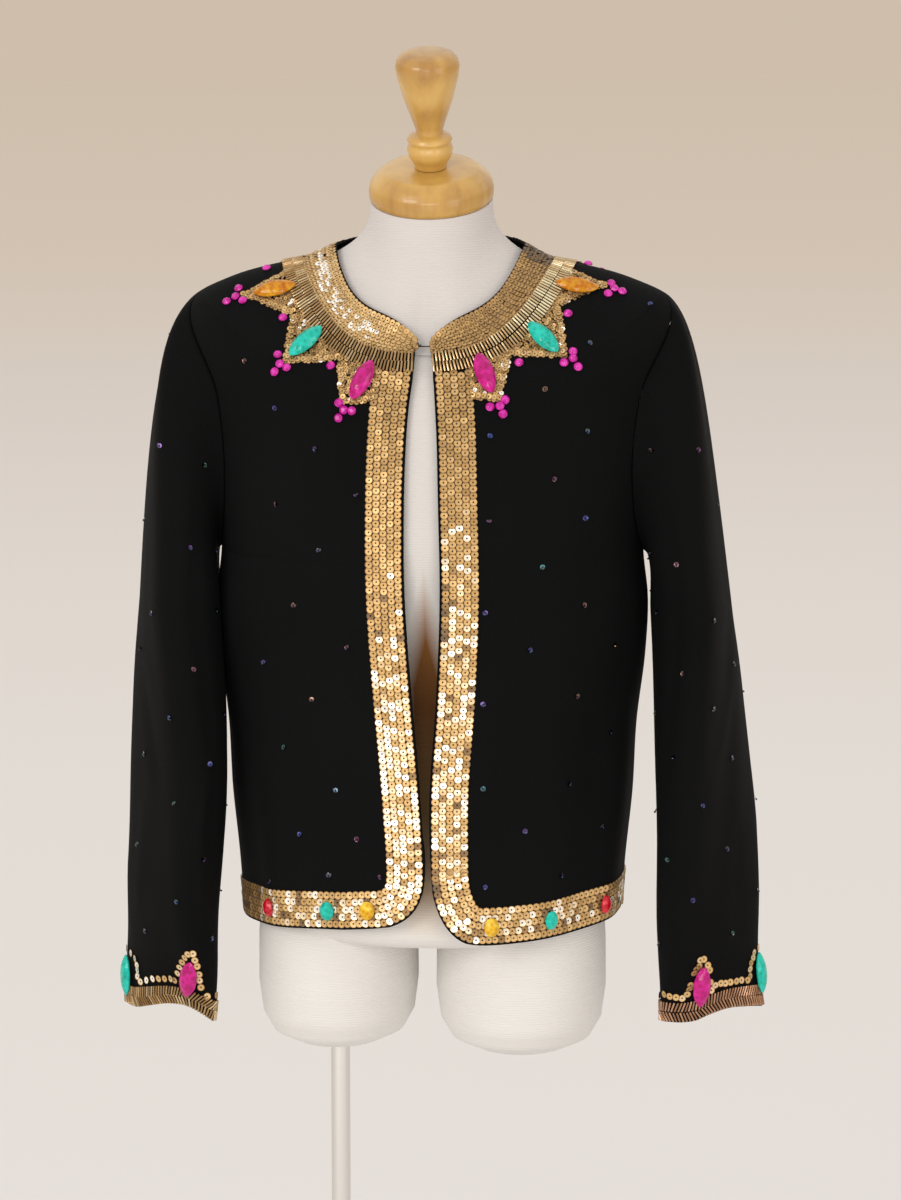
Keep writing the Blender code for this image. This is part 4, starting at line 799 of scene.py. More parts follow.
def shown_places(spots, tree, middle=None):
    """Where the cloth is seen at places in the photograph, with its normals there.

    A place beside the cloth is left out, or moved to the nearest cloth at the depth of a middle.
    """
    turn = (CAMERA_TARGET - CAMERA_PLACE).to_track_quat("-Z", "Y").to_matrix()
    found = []
    for x, y in spots:
        ray = turn @ Vector((x - PICTURE_WIDTH / 2, PICTURE_HEIGHT / 2 - y, -FOCAL_PIXELS))
        ray.normalize()
        hit = tree.ray_cast(CAMERA_PLACE, ray)
        if hit[0] is None and middle is not None:
            hit = tree.find_nearest(CAMERA_PLACE + ray * (middle - CAMERA_PLACE).dot(ray))
        if hit[0] is not None:
            found.append(hit)
    return places_and_normals(found)


class Spots:
    """Places for copies of one small shape: where, along what, facing what, how big, what shade."""

    def __init__(self):
        self.parts = []

    def add(self, places, alongs, normals, size, shade=0.5):
        sizes, shades = (np.broadcast_to(value, len(places)) for value in (size, shade))
        self.parts.append((places, alongs, normals, sizes, shades))

    def joined(self):
        return [np.concatenate(values) for values in zip(*self.parts)]


def turns_of(alongs, normals, tilt, jitter, spin):
    """Rotation matrices: x along, z out of the cloth, with a tilt that lifts the leading edge."""
    count = len(alongs)
    normals = unit(normals)
    alongs = unit(alongs - normals * np.sum(alongs * normals, axis=1, keepdims=True))
    lift = tilt + rng.normal(0.0, jitter, count)
    roll = rng.normal(0.0, jitter, count)
    across = np.cross(normals, alongs)
    z = unit(normals * np.cos(lift)[:, None] - alongs * np.sin(lift)[:, None] + across * roll[:, None])
    x = unit(alongs - z * np.sum(alongs * z, axis=1, keepdims=True))
    y = np.cross(z, x)
    angle = rng.uniform(-spin, spin, count)[:, None]
    return np.stack([x * np.cos(angle) + y * np.sin(angle), y * np.cos(angle) - x * np.sin(angle), z], axis=2)


def scatter(name, shape, spots, finish, slot, nodes=(), tilt=0.0, jitter=0.0, spin=0.0, smooth=False,
            lift=0.0, rim_shade=0.0):
    """One piece of many copies of a small closed shape, each with its rim painted darker by the given amount,
    a painted shade for the gaps between overlapping copies.
    """
    verts, faces = shape
    places, alongs, normals, sizes, shades = spots.joined()
    turns = turns_of(alongs, normals, tilt, jitter, spin)
    local = np.einsum("nij,vj->nvi", turns, verts) * sizes[:, None, None]
    points = (places + unit(normals) * lift)[:, None, :] + local
    made = []
    for first in range(0, len(places) * len(verts), len(verts)):
        made += [tuple(first + corner for corner in face) for face in faces]
    thing = new_object(name, points, made, finish)
    # Painted shade: each copy's outer rim is made darker than its middle
    edge = np.hypot(verts[:, 0], verts[:, 1]) > 0.99
    shaded = np.maximum(0.0, shades[:, None] - rim_shade * edge)
    shade = thing.data.attributes.new("shade", "FLOAT", "POINT")
    shade.data.foreach_set("value", shaded.reshape(-1).astype(np.float32))
    if smooth:
        thing.data.shade_smooth()
        thing.data.set_sharp_from_angle(angle=math.radians(40))
    else:
        thing.data.shade_flat()
    place_piece(thing, nodes)


def ring_faces(rings, corners):
    """Four-sided faces between rings of corners."""
    return [tuple(face) for face in grid_faces(rings, corners, True).tolist()]


def end_face(first, corners):
    return tuple(range(first, first + corners))


def turned_shape(rings, corners, closed=True):
    """A small shape of rings of (radius, height) round z, each with the same corners."""
    turns = [2 * math.pi * step / corners for step in range(corners)]
    verts = [(radius * math.cos(turn), radius * math.sin(turn), height)
             for radius, height in rings for turn in turns]
    faces = ring_faces(len(rings), corners)
    if closed:
        faces += [end_face(0, corners)[::-1], end_face((len(rings) - 1) * corners, corners)]
    return np.array(verts), faces


def cup_sequin(corners=10):
    """A nearly flat faceted sequin with a hole, opening towards +z, of radius 1."""
    rings = ((0.22, -0.03), (1.0, 0.04), (1.0, 0.08), (0.78, 0.025), (0.22, 0.0))
    verts, faces = turned_shape(rings, corners, closed=False)
    last = (len(rings) - 1) * corners
    for i in range(corners):
        j = (i + 1) % corners
        faces.append((last + i, last + j, j, i))
    return verts, faces


def bugle():
    """A tube bead along x, of length 2 and radius 0.21."""
    rings = ((0.14, -1.0), (0.195, -0.97), (0.21, -0.9), (0.21, 0.9), (0.195, 0.97), (0.14, 1.0))
    verts, faces = turned_shape(rings, 8)
    return verts[:, [2, 0, 1]], faces


def round_stone():
    """A round faceted stone of radius 1 with its back at z = 0."""
    return turned_shape(((0.88, 0.0), (1.0, 0.22), (0.97, 0.38), (0.66, 0.74), (0.40, 0.88)), 12)


def bead():
    return turned_shape(((0.25, -0.95), (0.75, -0.65), (1.0, 0.0), (0.75, 0.65), (0.25, 0.95)), 8)


def long_stone(length, width, height, corners, pointed):
    """A cut stone lying in XY with its long axis along X and its back at z = 0."""
    rings = ((0.93, 0.0, 0.0), (1.0, 0.20, 0.0), (0.985, 0.34, 0.0), (0.80, 0.66, 0.5), (0.56, 0.93, 0.0),
             (0.36, 1.0, 0.5))
    verts = []
    for scale, up, offset in rings:
        for step in range(corners):
            turn = 2 * math.pi * (step + offset) / corners
            side = math.sin(turn) * abs(math.sin(turn)) ** pointed
            verts.append((scale * length / 2 * math.cos(turn), scale * width / 2 * side, up * height))
    faces = []
    for ring in range(len(rings) - 1):
        low = ring * corners
        high = low + corners
        twist = rings[ring + 1][2] - rings[ring][2]
        for i in range(corners):
            j = (i + 1) % corners
            if twist > 0:
                faces += [(low + i, low + j, high + i), (low + j, high + j, high + i)]
            elif twist < 0:
                faces += [(low + i, high + j, high + i), (low + i, low + j, high + j)]
            else:
                faces.append((low + i, low + j, high + j, high + i))
    faces += [end_face(0, corners)[::-1], end_face((len(rings) - 1) * corners, corners)]
    return np.array(verts), faces


# Materials

def connect(tree, socket, value):
    """Links a node's output to a socket, or sets the socket to a number, colour or place."""
    if isinstance(value, Value):
        value = value.socket
    if isinstance(value, bpy.types.NodeSocket):
        tree.links.new(value, socket)
    elif isinstance(value, tuple) and socket.type == "RGBA":
        socket.default_value = (*value, 1.0)
    else:
        socket.default_value = value


def add(tree, kind, settings=None, inputs=None):
    node = tree.nodes.new("ShaderNode" + kind)
    for key, value in (settings or {}).items():
        setattr(node, key, value)
    for key, value in (inputs or {}).items():
        connect(tree, node.inputs[key], value)
    return node


def ramp(tree, factor, stops):
    node = add(tree, "ValToRGB", inputs={"Fac": factor})
    elements = node.color_ramp.elements
    while len(elements) < len(stops):
        elements.new(0.5)
    for element, (place, colour) in zip(elements, stops):
        element.position = place
        element.color = (*colour, 1.0)
    return node.outputs["Color"]


class Value:
    """A number in a material that plus, minus, times and divide carry on with Math nodes."""

    def __init__(self, tree, socket):
        self.tree = tree
        self.socket = socket

    def math(self, operation, *others):
        node = add(self.tree, "Math", {"operation": operation})
        for socket, value in zip(node.inputs, (self, *others)):
            connect(self.tree, socket, value)
        return Value(self.tree, node.outputs[0])

    def __add__(self, other):
        return self.math("ADD", other)

    def __sub__(self, other):
        return self.math("SUBTRACT", other)

    def __mul__(self, other):
        return self.math("MULTIPLY", other)

    def __truediv__(self, other):
        return self.math("DIVIDE", other)


class Material:
    """A material under construction, with values set on its shader's own sockets."""

    def __init__(self, name, values):
        self.made = bpy.data.materials.new(name)
        self.made.use_nodes = True
        self.tree = self.made.node_tree
        self.shader = self.tree.nodes["Principled BSDF"]
        for key, value in values.items():
            connect(self.tree, self.shader.inputs[key], value)

    def value(self, socket):
        return Value(self.tree, socket)

    def place(self, scale=None):
        """The place on the object, stretched by a scale along each axis."""
        place = add(self.tree, "TexCoord").outputs["Object"]
        if scale:
            place = add(self.tree, "Mapping", inputs={"Vector": place, "Scale": scale}).outputs["Vector"]
        return place

    def split(self, place):
        node = add(self.tree, "SeparateXYZ", inputs={"Vector": place})
        return [self.value(node.outputs[axis]) for axis in "XYZ"]

    def shade(self):
        """Each sequin's or bead's shade: its own tone, with painted glints and a painted darker rim on many
        sequins.
        """
        return self.value(add(self.tree, "Attribute", {"attribute_name": "shade"}).outputs["Fac"])

    def noise(self, scale, detail=3.0, roughness=0.5, place=None):
        if place is None:
            place = self.place()
        inputs = {"Vector": place, "Scale": scale, "Detail": detail, "Roughness": roughness}
        return self.value(add(self.tree, "TexNoise", inputs=inputs).outputs["Fac"])

    def spread(self, value, low, high, start=0.0, end=1.0):
        """The value taken from start and end to low and high, and held there."""
        inputs = {"Value": value, "From Min": start, "From Max": end, "To Min": low, "To Max": high}
        return self.value(add(self.tree, "MapRange", inputs=inputs).outputs["Result"])

    def mix(self, factor, first, second):
        return add(self.tree, "Mix", {"data_type": "RGBA"},
                   {"Factor": factor, "A": first, "B": second}).outputs["Result"]

    def ramp(self, factor, stops):
        return ramp(self.tree, factor, stops)

    def finish(self, colour=None, rough=None, height=None, distance=0.0, strength=1.0):
        """Links what was worked out to the shader, and gives the material."""
        if colour is not None:
            self.tree.links.new(colour, self.shader.inputs["Base Color"])
        if rough is not None:
            self.tree.links.new(rough.socket, self.shader.inputs["Roughness"])
        if height is not None:
            inputs = {"Height": height, "Distance": distance, "Strength": strength}
            normal = add(self.tree, "Bump", inputs=inputs).outputs["Normal"]
            self.tree.links.new(normal, self.shader.inputs["Normal"])
        return self.made


def knit_material():
    """Fine black knit: rows of V stitches, soft sheen, and colour that is darker in the grooves between the
    stitch legs as painted shade, and unevenly dark at random.
    """
    look = Material("knit", {"Roughness": 0.80, "Sheen Weight": 0.012, "Sheen Roughness": 0.35,
                             "Sheen Tint": (0.55, 0.55, 0.58), "Specular IOR Level": 0.08})
    uv = add(look.tree, "UVMap", {"uv_map": "cloth"}).outputs["UV"]
    u, v, _ = look.split(uv)
    across = ((u / WALE).math("FRACT") - 0.5).math("ABSOLUTE")
    wave = ((v / COURSE + across * STITCH_SLANT) * (2 * math.pi)).math("SINE")
    stitch = (across * -1.8 + 1.0) * (wave * 0.35 + 0.65)
    height = stitch + look.noise(900.0, 2.0, place=uv) * 0.5
    # Painted shade: lighter on the raised stitch legs and darker in the grooves between them, plus random
    # uneven tone
    colour = look.ramp(stitch * 0.5 + look.noise(7.0), KNIT_COLOURS)
    return look.finish(colour, None, height, 0.0004, 0.7)


def sequin_material():
    """Metallic sequins: the shade runs from gunmetal through bronze and beige gold to silver white, the
    silver white being painted glints of reflected light.
    """
    look = Material("gold_sequin", {"Metallic": 0.62, "Specular IOR Level": 0.6})
    shade = look.shade()
    wear = look.noise(1400.0, 2.0) * (shade * -0.42 + 0.46)
    colour = look.mix(wear, look.ramp(shade, SEQUIN_COLOURS), SEQUIN_WEAR)
    return look.finish(colour, look.spread(shade, 0.42, 0.16, 0.6, 1.0))


def bugle_material(name, colours):
    """Glass tubes with a metal lining."""
    look = Material(name, {"Metallic": 0.85, "Coat Weight": 0.8, "Coat Roughness": 0.06})
    colour = look.ramp(look.shade(), tuple(zip((0.0, 0.5, 1.0), colours)))
    return look.finish(colour, look.spread(look.noise(500.0), 0.16, 0.36))


def gem_material(name, colours):
    """A foil-backed acrylic stone: its colour in lighter and darker cells that paint the reflections of the
    foil's facets, and a clear glossy top.
    """
    look = Material(name, {"Roughness": 0.14, "Coat Weight": 0.35, "Coat Roughness": 0.03,
                           "Specular IOR Level": 0.20})
    cells = add(look.tree, "TexVoronoi", {"feature": "F1"}, {"Vector": look.place(), "Scale": 260.0})
    painted_facet_light = look.value(cells.outputs["Distance"]) * 0.5 + look.noise(120.0, 2.0) * 0.8
    return look.finish(look.ramp(painted_facet_light, tuple(zip((0.25, 0.55, 0.85), colours))))


def iridescent_material():
    """Small dark sequins that shine blue, violet, green or copper, each in its own shade."""
    look = Material("dark_iridescent", {"Metallic": 1.0, "Roughness": 0.16, "Coat Weight": 0.6,
                                        "Coat Roughness": 0.05})
    colour = look.ramp(look.shade(), DARK_COLOURS)
    return look.finish(look.mix(look.noise(600.0) * 0.7, colour, (0.03, 0.03, 0.04)))


def jersey_material():
    """Off-white jersey stretched round the form, with fine level lines, a painted shade that darkens it from
    the thighs up to the neck, and a painted amber shadow with warm bounce light in front.
    """
    look = Material("form_jersey", {"Roughness": 0.82, "Sheen Weight": 0.15, "Specular IOR Level": 0.3})
    x, y, z = look.split(look.place())
    wobble = look.noise(4.0, place=look.place((6.0, 6.0, 60.0)))
    lines = (z * (2 * math.pi / JERSEY_LINE) + wobble * 5.0).math("SINE")
    # Painted shade: the jersey's colour darkens from the thighs up to the neck
    rise = look.spread(z, 0.0, 1.0, FORM_LOW, FORM_HIGH)
    plain = look.mix(lines * 0.04 + look.noise(9.0) * 0.16, look.ramp(rise, FORM_COLOURS_WITH_PAINTED_SHADE), JERSEY_FLECK)
    # Painted shadow, amber with warm bounce light, on the form in the gap between the fronts, narrowing to a
    # tip as it rises
    level = look.spread(z, 0.0, 1.0, PAINTED_SHADOW_LOW, PAINTED_SHADOW_HIGH)
    reach = look.spread(level, PAINTED_SHADOW_REACH, PAINTED_SHADOW_TIP_REACH, PAINTED_SHADOW_NARROWS, 1.0)
    inside = (reach - (x - PAINTED_SHADOW_X).math("ABSOLUTE")) / PAINTED_SHADOW_SOFT
    inside = inside.math("MAXIMUM", 0.0).math("MINIMUM", 1.0)
    painted_shadow_mask = inside * (look.spread(y, 1.0, 0.0, *PAINTED_SHADOW_FRONT) * look.spread(level, 0.0, 1.0, 0.0, PAINTED_SHADOW_START))
    colour = look.mix(painted_shadow_mask, plain, look.ramp(level, PAINTED_SHADOW_COLOURS))
    return look.finish(colour, None, lines, 0.0002, 0.35)


def wood_material():
    """Varnished honey-coloured wood with long soft grain."""
    look = Material("varnished_wood", {"Roughness": 0.36, "Coat Weight": 0.45, "Coat Roughness": 0.10})
    grain = look.noise(1.0, 5.0, 0.6, place=look.place((60.0, 60.0, 5.0)))
    rings = add(look.tree, "TexWave", {"wave_type": "RINGS", "rings_direction": "X"},
                {"Vector": look.place((1.0, 1.0, 0.35)), "Scale": 16.0, "Distortion": 3.5, "Detail": 2.0})
    value = look.value(rings.outputs["Fac"]) * 0.35 + grain * 0.75
    return look.finish(look.ramp(value, WOOD_COLOURS), None, grain, 0.0002, 0.2)


def metal_material(name, colour, low, high):
    """Polished metal with faint turning marks."""
    look = Material(name, {"Base Color": colour, "Metallic": 1.0})
    marks = look.noise(1.0, place=look.place((20.0, 20.0, 900.0)))
    return look.finish(None, look.spread(marks, low, high))


def build_materials():
    finishes = {
        "knit": knit_material(),
        "gold": sequin_material(),
        "dark": iridescent_material(),
        "jersey": jersey_material(),
        "wood": wood_material(),
        "chrome": metal_material("chrome", (0.72, 0.70, 0.67), 0.05, 0.12),
        "steel": metal_material("foot_steel", (0.45, 0.45, 0.46), 0.25, 0.40),
        "wire": metal_material("dark_wire", (0.045, 0.042, 0.040), 0.30, 0.45),
    }
    for name, colours in BUGLE_COLOURS.items():
        finishes[name] = bugle_material(name + "_bugle", colours)
    for name, colours in GEM_COLOURS.items():
        finishes[name] = gem_material("gem_" + name, colours)
    return finishes


# The camera, and what the object is photographed against

def aim(thing, place, target):
    """Puts a camera or lamp at a place, looking at a target."""
    thing.location = place
    thing.rotation_euler = (Vector(target) - Vector(place)).to_track_quat("-Z", "Y").to_euler()


def build_camera():
    data = bpy.data.cameras.new("photo_camera")
    camera = add_object("photo_camera", data)
    aim(camera, CAMERA_PLACE, CAMERA_TARGET)
    data.sensor_fit = "VERTICAL"
    data.sensor_height = SENSOR_HEIGHT
    data.lens = FOCAL_PIXELS / PICTURE_HEIGHT * SENSOR_HEIGHT
    data.clip_start = 0.1
    data.clip_end = 1000.0
    bpy.context.scene.camera = camera


def build_stage():
    """A wide pale floor whose colour turns darker and warmer with distance, a painted falloff of the light.
    """
    turns = 2 * math.pi * np.arange(96) / 96
    rings = [circle(radius, turns) for radius in FLOOR_RINGS]
    faces = grid_faces(len(rings), len(turns), True)[:, ::-1].tolist() + [end_face(0, len(turns))]
    look = Material("floor_paper", {"Roughness": 0.95, "Specular IOR Level": 0.05})
    length = add(look.tree, "VectorMath", {"operation": "LENGTH"}, {0: look.place()})
    away = look.value(length.outputs["Value"])
    finish = look.finish(look.ramp(away / (away + FLOOR_MIDDLE), FLOOR_COLOURS_WITH_PAINTED_FALLOFF))
    new_object("floor", rings, faces, finish)


def build_light():
    """A soft warm light from all round, paler overhead, with three large lamps in front."""
    world = bpy.data.worlds.new("studio")
    bpy.context.scene.world = world
    world.use_nodes = True
    tree = world.node_tree
    way = add(tree, "TexCoord").outputs["Generated"]
    up = add(tree, "SeparateXYZ", inputs={"Vector": way}).outputs["Z"]
    tree.links.new(ramp(tree, up, SKY_COLOURS), tree.nodes["Background"].inputs["Color"])
    for lamp in LAMPS:
        data = bpy.data.lights.new(lamp.name, "AREA")
        data.shape = "RECTANGLE"
        data.size, data.size_y = lamp.size
        data.energy = lamp.power
        data.color = lamp.colour
        aim(add_object(lamp.name, data), lamp.place, lamp.target)
    bpy.context.scene.view_settings.view_transform = "Standard"


# Cloth

def build_cloth(finish):
    for name, places, flat, area in (("front_left", front_places(-1), (0.29, 0.57), 0.116),
                                     ("front_right", front_places(1), (0.29, 0.57), 0.116),
                                     ("back", back_places(), (0.46, 0.58), 0.205)):
        piece = shell(name, body_points(*places), body_normals(*places), finish)
    grids = {}
    for side, word in SIDES:
        grids[side] = sleeve_grid(side)
        piece = shell("sleeve_" + word, grids[side], tube_normals(grids[side]), finish, wrap=True)
    return grids


# Sequin bands

def edge_path(side):
    """Points and normals down a front edge, round its corner and along the hem to the back."""
    hem = corner_hem(side)
    top = np.linspace(FRONT_BAND_TOP, hem + CORNER_HEIGHT, 300)
    theta = side * angle_at(side, edge_x(side, top) * side, top)
    turn = np.linspace(0.0, math.pi / 2, 60)[1:]
    drop = CORNER_HEIGHT * (1 - np.sin(turn))
    start = edge_x(side, hem + drop) * side
    corner = side * angle_at(side, start + CORNER_WIDTH * (1 - np.cos(turn)), hem)
    along = np.linspace(corner[-1], side * math.pi, 500)[1:]
    thetas = np.concatenate([theta, corner, along])
    levels = np.concatenate([top, hem_height(corner) + drop, hem_height(along)])
    return body_points(thetas, levels), body_normals(thetas, levels)


def by_chance(places, chance):
    """Which of some places are picked at random, given each one's chance: used for painted glints, for darker
    sequins, and for which sequins are kept.
    """
    return rng.random(len(places)) < chance


def band_shades(side, column, places):
    """Shades of one column of a front band: beige gold on the chest, with painted silver white glints of
    reflected light spreading below a height and along the hem.
    """
    x, y, z = places.T
    count = len(z)
    # Painted glints: below a height more and more sequins turn silver white, in runs down each column,
    # standing for reflected light
    low = np.clip((PAINTED_GLINT_START[side] - z) / PAINTED_GLINT_FADE, 0, 1)
    run = 0.5 + 0.5 * np.sin(2 * math.pi * z / PAINTED_GLINT_RUN + 2.1 * column + side)
    painted_silver = by_chance(places, low * (0.18 + 0.22 * low + 0.34 * run))
    plain = rng.uniform(0.36, 0.60, count) + 0.14 * low * rng.random(count)
    plain = np.where(by_chance(places, 0.14 * low), rng.uniform(0.10, 0.40, count), plain)
    shades = np.where(painted_silver, rng.uniform(0.66, 1.0, count), plain)
    if side > 0 and column == 0:
        for top, bottom in DARK_STRETCHES:
            shades = np.where((z < top) & (z > bottom), rng.uniform(0.0, 0.5, count), shades)
    outer = column in (0, FRONT_BAND_COLUMNS - 1)
    # Along the hem, painted silver white glints, most in the middle rows, and a few darker sequins
    sewn = np.where(by_chance(places, 0.08 if outer else 0.40), rng.uniform(0.80, 1.0, count),
                    rng.uniform(0.42, 0.68, count))
    sewn = np.where(by_chance(places, 0.05 if outer else 0.16), rng.uniform(0.05, 0.35, count), sewn)
    sewn = np.where((x < DULL_END) & (y < 0), sewn * 0.55, sewn)
    hem = ((np.abs(x) > HEM_START) | (y > 0)) & (z < HEM_TOP)
    return np.clip(np.where(hem, sewn, shades), 0, 1)


def build_front_bands(tree, finishes):
    """Five columns of sequins along each edge, the even ones set half a step further on."""
    for side, word in SIDES:
        spots = Spots()
        points, normals = edge_path(side)
        inward = unit(np.cross(normals, np.gradient(points, axis=0))) * side
        for column in range(FRONT_BAND_COLUMNS):
            line, _ = seated(tree, points + inward * (FRONT_COLUMN_FIRST + FRONT_COLUMN_PITCH * column))
            even, _ = resampled(line, FRONT_ROW_PITCH)
            if column % 2:
                even = (even[1:] + even[:-1]) / 2
            places, ups = seated(tree, even)
            shades = band_shades(side, column, places)
            sizes = SEQUIN * rng.uniform(0.97, 1.03, len(even))
            spots.add(places, np.gradient(even, axis=0), ups, sizes, shades)
        nodes = ["front_band_" + word] + (["hem_band_back"] if side > 0 else [])
        scatter("sequins_front_" + word, cup_sequin(), spots, finishes["gold"], "sequin", nodes, tilt=0.14,
                jitter=0.05, spin=0.3, lift=SEQUIN_LIFT, rim_shade=SEQUIN_RIM_SHADE)


def neck_line(level):
    """Points round the neckline at one level, from the right front edge to the left one."""
    start = float(angle_at(1, edge_x(1, level), level)) + 0.004
    end = 2 * math.pi - float(angle_at(-1, -edge_x(-1, level), level)) - 0.004
    return body_points(np.linspace(start, end, 700), level)


def build_neck_sequins(tree, finishes):
    """Scale-like rows round the neck; each row lifts its outer edge over the one outside it."""
    spots = Spots()
    for row in range(BAND_ROWS):
        part = (row + 0.45) / BAND_ROWS
        line, _ = resampled(neck_line(BAND_EDGE + (NECK - 0.0012 - BAND_EDGE) * part), BAND_PITCH / 2)
        chosen = line[row % 2::2]
        places, normals = seated(tree, chosen)
        outward = np.cross(unit(np.gradient(chosen, axis=0)), normals)
        kept = by_chance(chosen, 0.985)
        x, y, _ = chosen.T
        # Paler to the picture's left and darker to its right: painted light and shade across the neck, with a
        # random tone for each sequin
        shades = 0.38 + 0.24 * np.clip(0.5 - x / 0.10, 0.0, 1.0) + rng.uniform(-0.07, 0.07, len(x))
        # A patch of painted silver white glints at the neck's left front
        painted_glint = (x > PAINTED_GLINT_PATCH[0]) & (x < PAINTED_GLINT_PATCH[1]) & (y < 0) & (row in PAINTED_GLINT_PATCH_ROWS)
        shades = np.where(painted_glint & by_chance(chosen, 0.45), rng.uniform(0.85, 1.0, len(x)), shades)
        # A dark patch at the right shoulder: its sequins darker, and some of them left out
        dark_patch = (x > DARK_PATCH_X) & (y > DARK_PATCH_Y[0]) & (y < DARK_PATCH_Y[1])
        shades = np.where(dark_patch, rng.uniform(0.0, 0.16, len(x)), shades)
        kept = kept & ~(dark_patch & by_chance(chosen, 0.35))
        spots.add(places[kept], outward[kept], normals[kept], BAND_SEQUIN, np.clip(shades[kept], 0, 1))
    scatter("sequins_neck", cup_sequin(), spots, finishes["gold"], "sequin", ["neck_sequin_band"], tilt=0.13,
            jitter=0.07, spin=0.3, lift=SEQUIN_LIFT, rim_shade=SEQUIN_RIM_SHADE)


class YokeEdge:
    """The yoke's outer edge on one side, measured by length from the front opening."""

    def __init__(self, side):
        self.side = side
        start = float(angle_at(side, edge_x(side, YOKE_EDGE) * side, YOKE_EDGE))
        self.angles = np.linspace(start, math.pi, 800)
        self.lengths = run_lengths(body_points(side * self.angles, YOKE_EDGE))
        shoulder = float(np.interp(math.pi / 2, self.angles, self.lengths))
        behind = [star._replace(place=shoulder + star.place) for star in BACK_STARS]
        self.stars = list(FRONT_STARS[side]) + behind

    def theta(self, distance):
        return self.side * np.interp(distance, self.lengths, self.angles)

    def points(self, distance):
        return body_points(self.theta(distance), YOKE_EDGE)

    def outward(self, distance):
        """The direction in the cloth, square to the edge and away from the neck."""
        theta = self.theta(distance)
        along = body_points(theta + 1e-3, YOKE_EDGE) - body_points(theta - 1e-3, YOKE_EDGE)
        return unit(np.cross(along, body_normals(theta, YOKE_EDGE)))

    def along(self, distance):
        """The direction in the cloth, along the edge and away from the front opening."""
        return unit(self.points(distance + 1e-3) - self.points(distance))


def build_yoke_bugles(edges, finishes):
    """Two rows of tube beads that point away from the neck."""
    spots = Spots()
    for side, _ in SIDES:
        fine = np.linspace(0.0012, float(edges[side].lengths[-1]), 1500)
        for part in YOKE_ROWS:
            theta = edges[side].theta(fine)
            base = body_points(theta, YOKE_EDGE)
            _, places = resampled(base + (body_points(theta, BAND_EDGE) - base) * part, BUGLE_PITCH)
            theta = np.interp(places, np.arange(len(fine)), theta)
            away = body_points(theta, YOKE_EDGE) - body_points(theta, BAND_EDGE)
            level = YOKE_EDGE + (BAND_EDGE - YOKE_EDGE) * part
            # Painted highlight: the bugles turn paler towards each shoulder, more on the right
            off = (np.abs(np.degrees(theta)) - YOKE_HIGHLIGHT_ANGLE) / YOKE_HIGHLIGHT_SPREAD
            shades = np.clip(rng.uniform(0.25, 0.6, len(theta)) + np.exp(-off ** 2) * YOKE_PAINTED_HIGHLIGHT[side], 0, 1)
            spots.add(body_points(theta, level), away, body_normals(theta, level), BUGLE_LENGTH / 2, shades)
    scatter("bugles_yoke", bugle(), spots, finishes["bronze"], "bugle", ["yoke_band"], jitter=0.025,
            smooth=True, lift=BUGLE_LIFT + BUGLE_RADIUS)


def star_share(distance, star):
    """How far up a star point's flank a distance lies: 1 at the tip, and 0 or less off its base."""
    offset = distance - star.place
    return 1 + offset / star.near if offset < 0 else 1 - offset / star.far


def flank_reach(star, side, share):
    """A place on a flank as lengths out of the edge and along it, with its foot's offset."""
    if side < 0:
        out, along, foot = star.near_out, star.near_along, -star.near
    else:
        out, along, foot = 0.0, star.far, star.far
    return out + (star.tip_out - out) * share, along + (star.tip_along - along) * share, foot * (1 - share)


def star_spot(edge, star, out, along, foot):
    return (edge.points(star.place + foot) + edge.outward(star.place) * out
            + edge.along(star.place) * (along - foot))


def rival_share(distance, star, stars):
    return max([star_share(distance, other) for other in stars if other is not star] + [0.0])


def star_border(edge, star):
    """Places in even steps up the near flank and down the far one, where no neighbour covers them."""
    places = []
    for side in (-1, 1):
        line = []
        for share in np.linspace(0.0, 1.0, 60):
            out, along, foot = flank_reach(star, side, share)
            if share >= rival_share(star.place + foot, star, edge.stars):
                along = along - side * BORDER_INSET * 0.5
                line.append(star_spot(edge, star, out - BORDER_INSET, along, foot))
        even, _ = resampled(np.array(line), BORDER_PITCH)
        places += list(even if side < 0 else even[:-1])
    return places


def star_fill(edge, star, border):
    """Places of the small sequins inside a star point, no two closer than their pitch."""
    first = len(border)
    places = np.zeros((first + FILL_TRIES, 3))
    places[:first] = border
    count = first
    sides = np.where(rng.random(FILL_TRIES) < star.near / (star.near + star.far), -1, 1)
    shares = rng.random(FILL_TRIES)
    parts = rng.random(FILL_TRIES)
    out, along, foot = np.array([flank_reach(star, side, share) for side, share in zip(sides, shares)]).T
    spots = (edge.points(star.place + foot) + edge.outward(star.place) * (out * parts)[:, None]
             + edge.along(star.place) * ((along - foot) * parts)[:, None])
    for share, offset, spot in zip(shares, foot, spots):
        if share < rival_share(star.place + offset, star, edge.stars):
            continue
        near = np.linalg.norm(places[:count] - spot, axis=1)
        if near[:first].min() > 0.8 * FILL_PITCH and (count == first or near[first:].min() > FILL_PITCH):
            places[count] = spot
            count += 1
    return places[first:count]


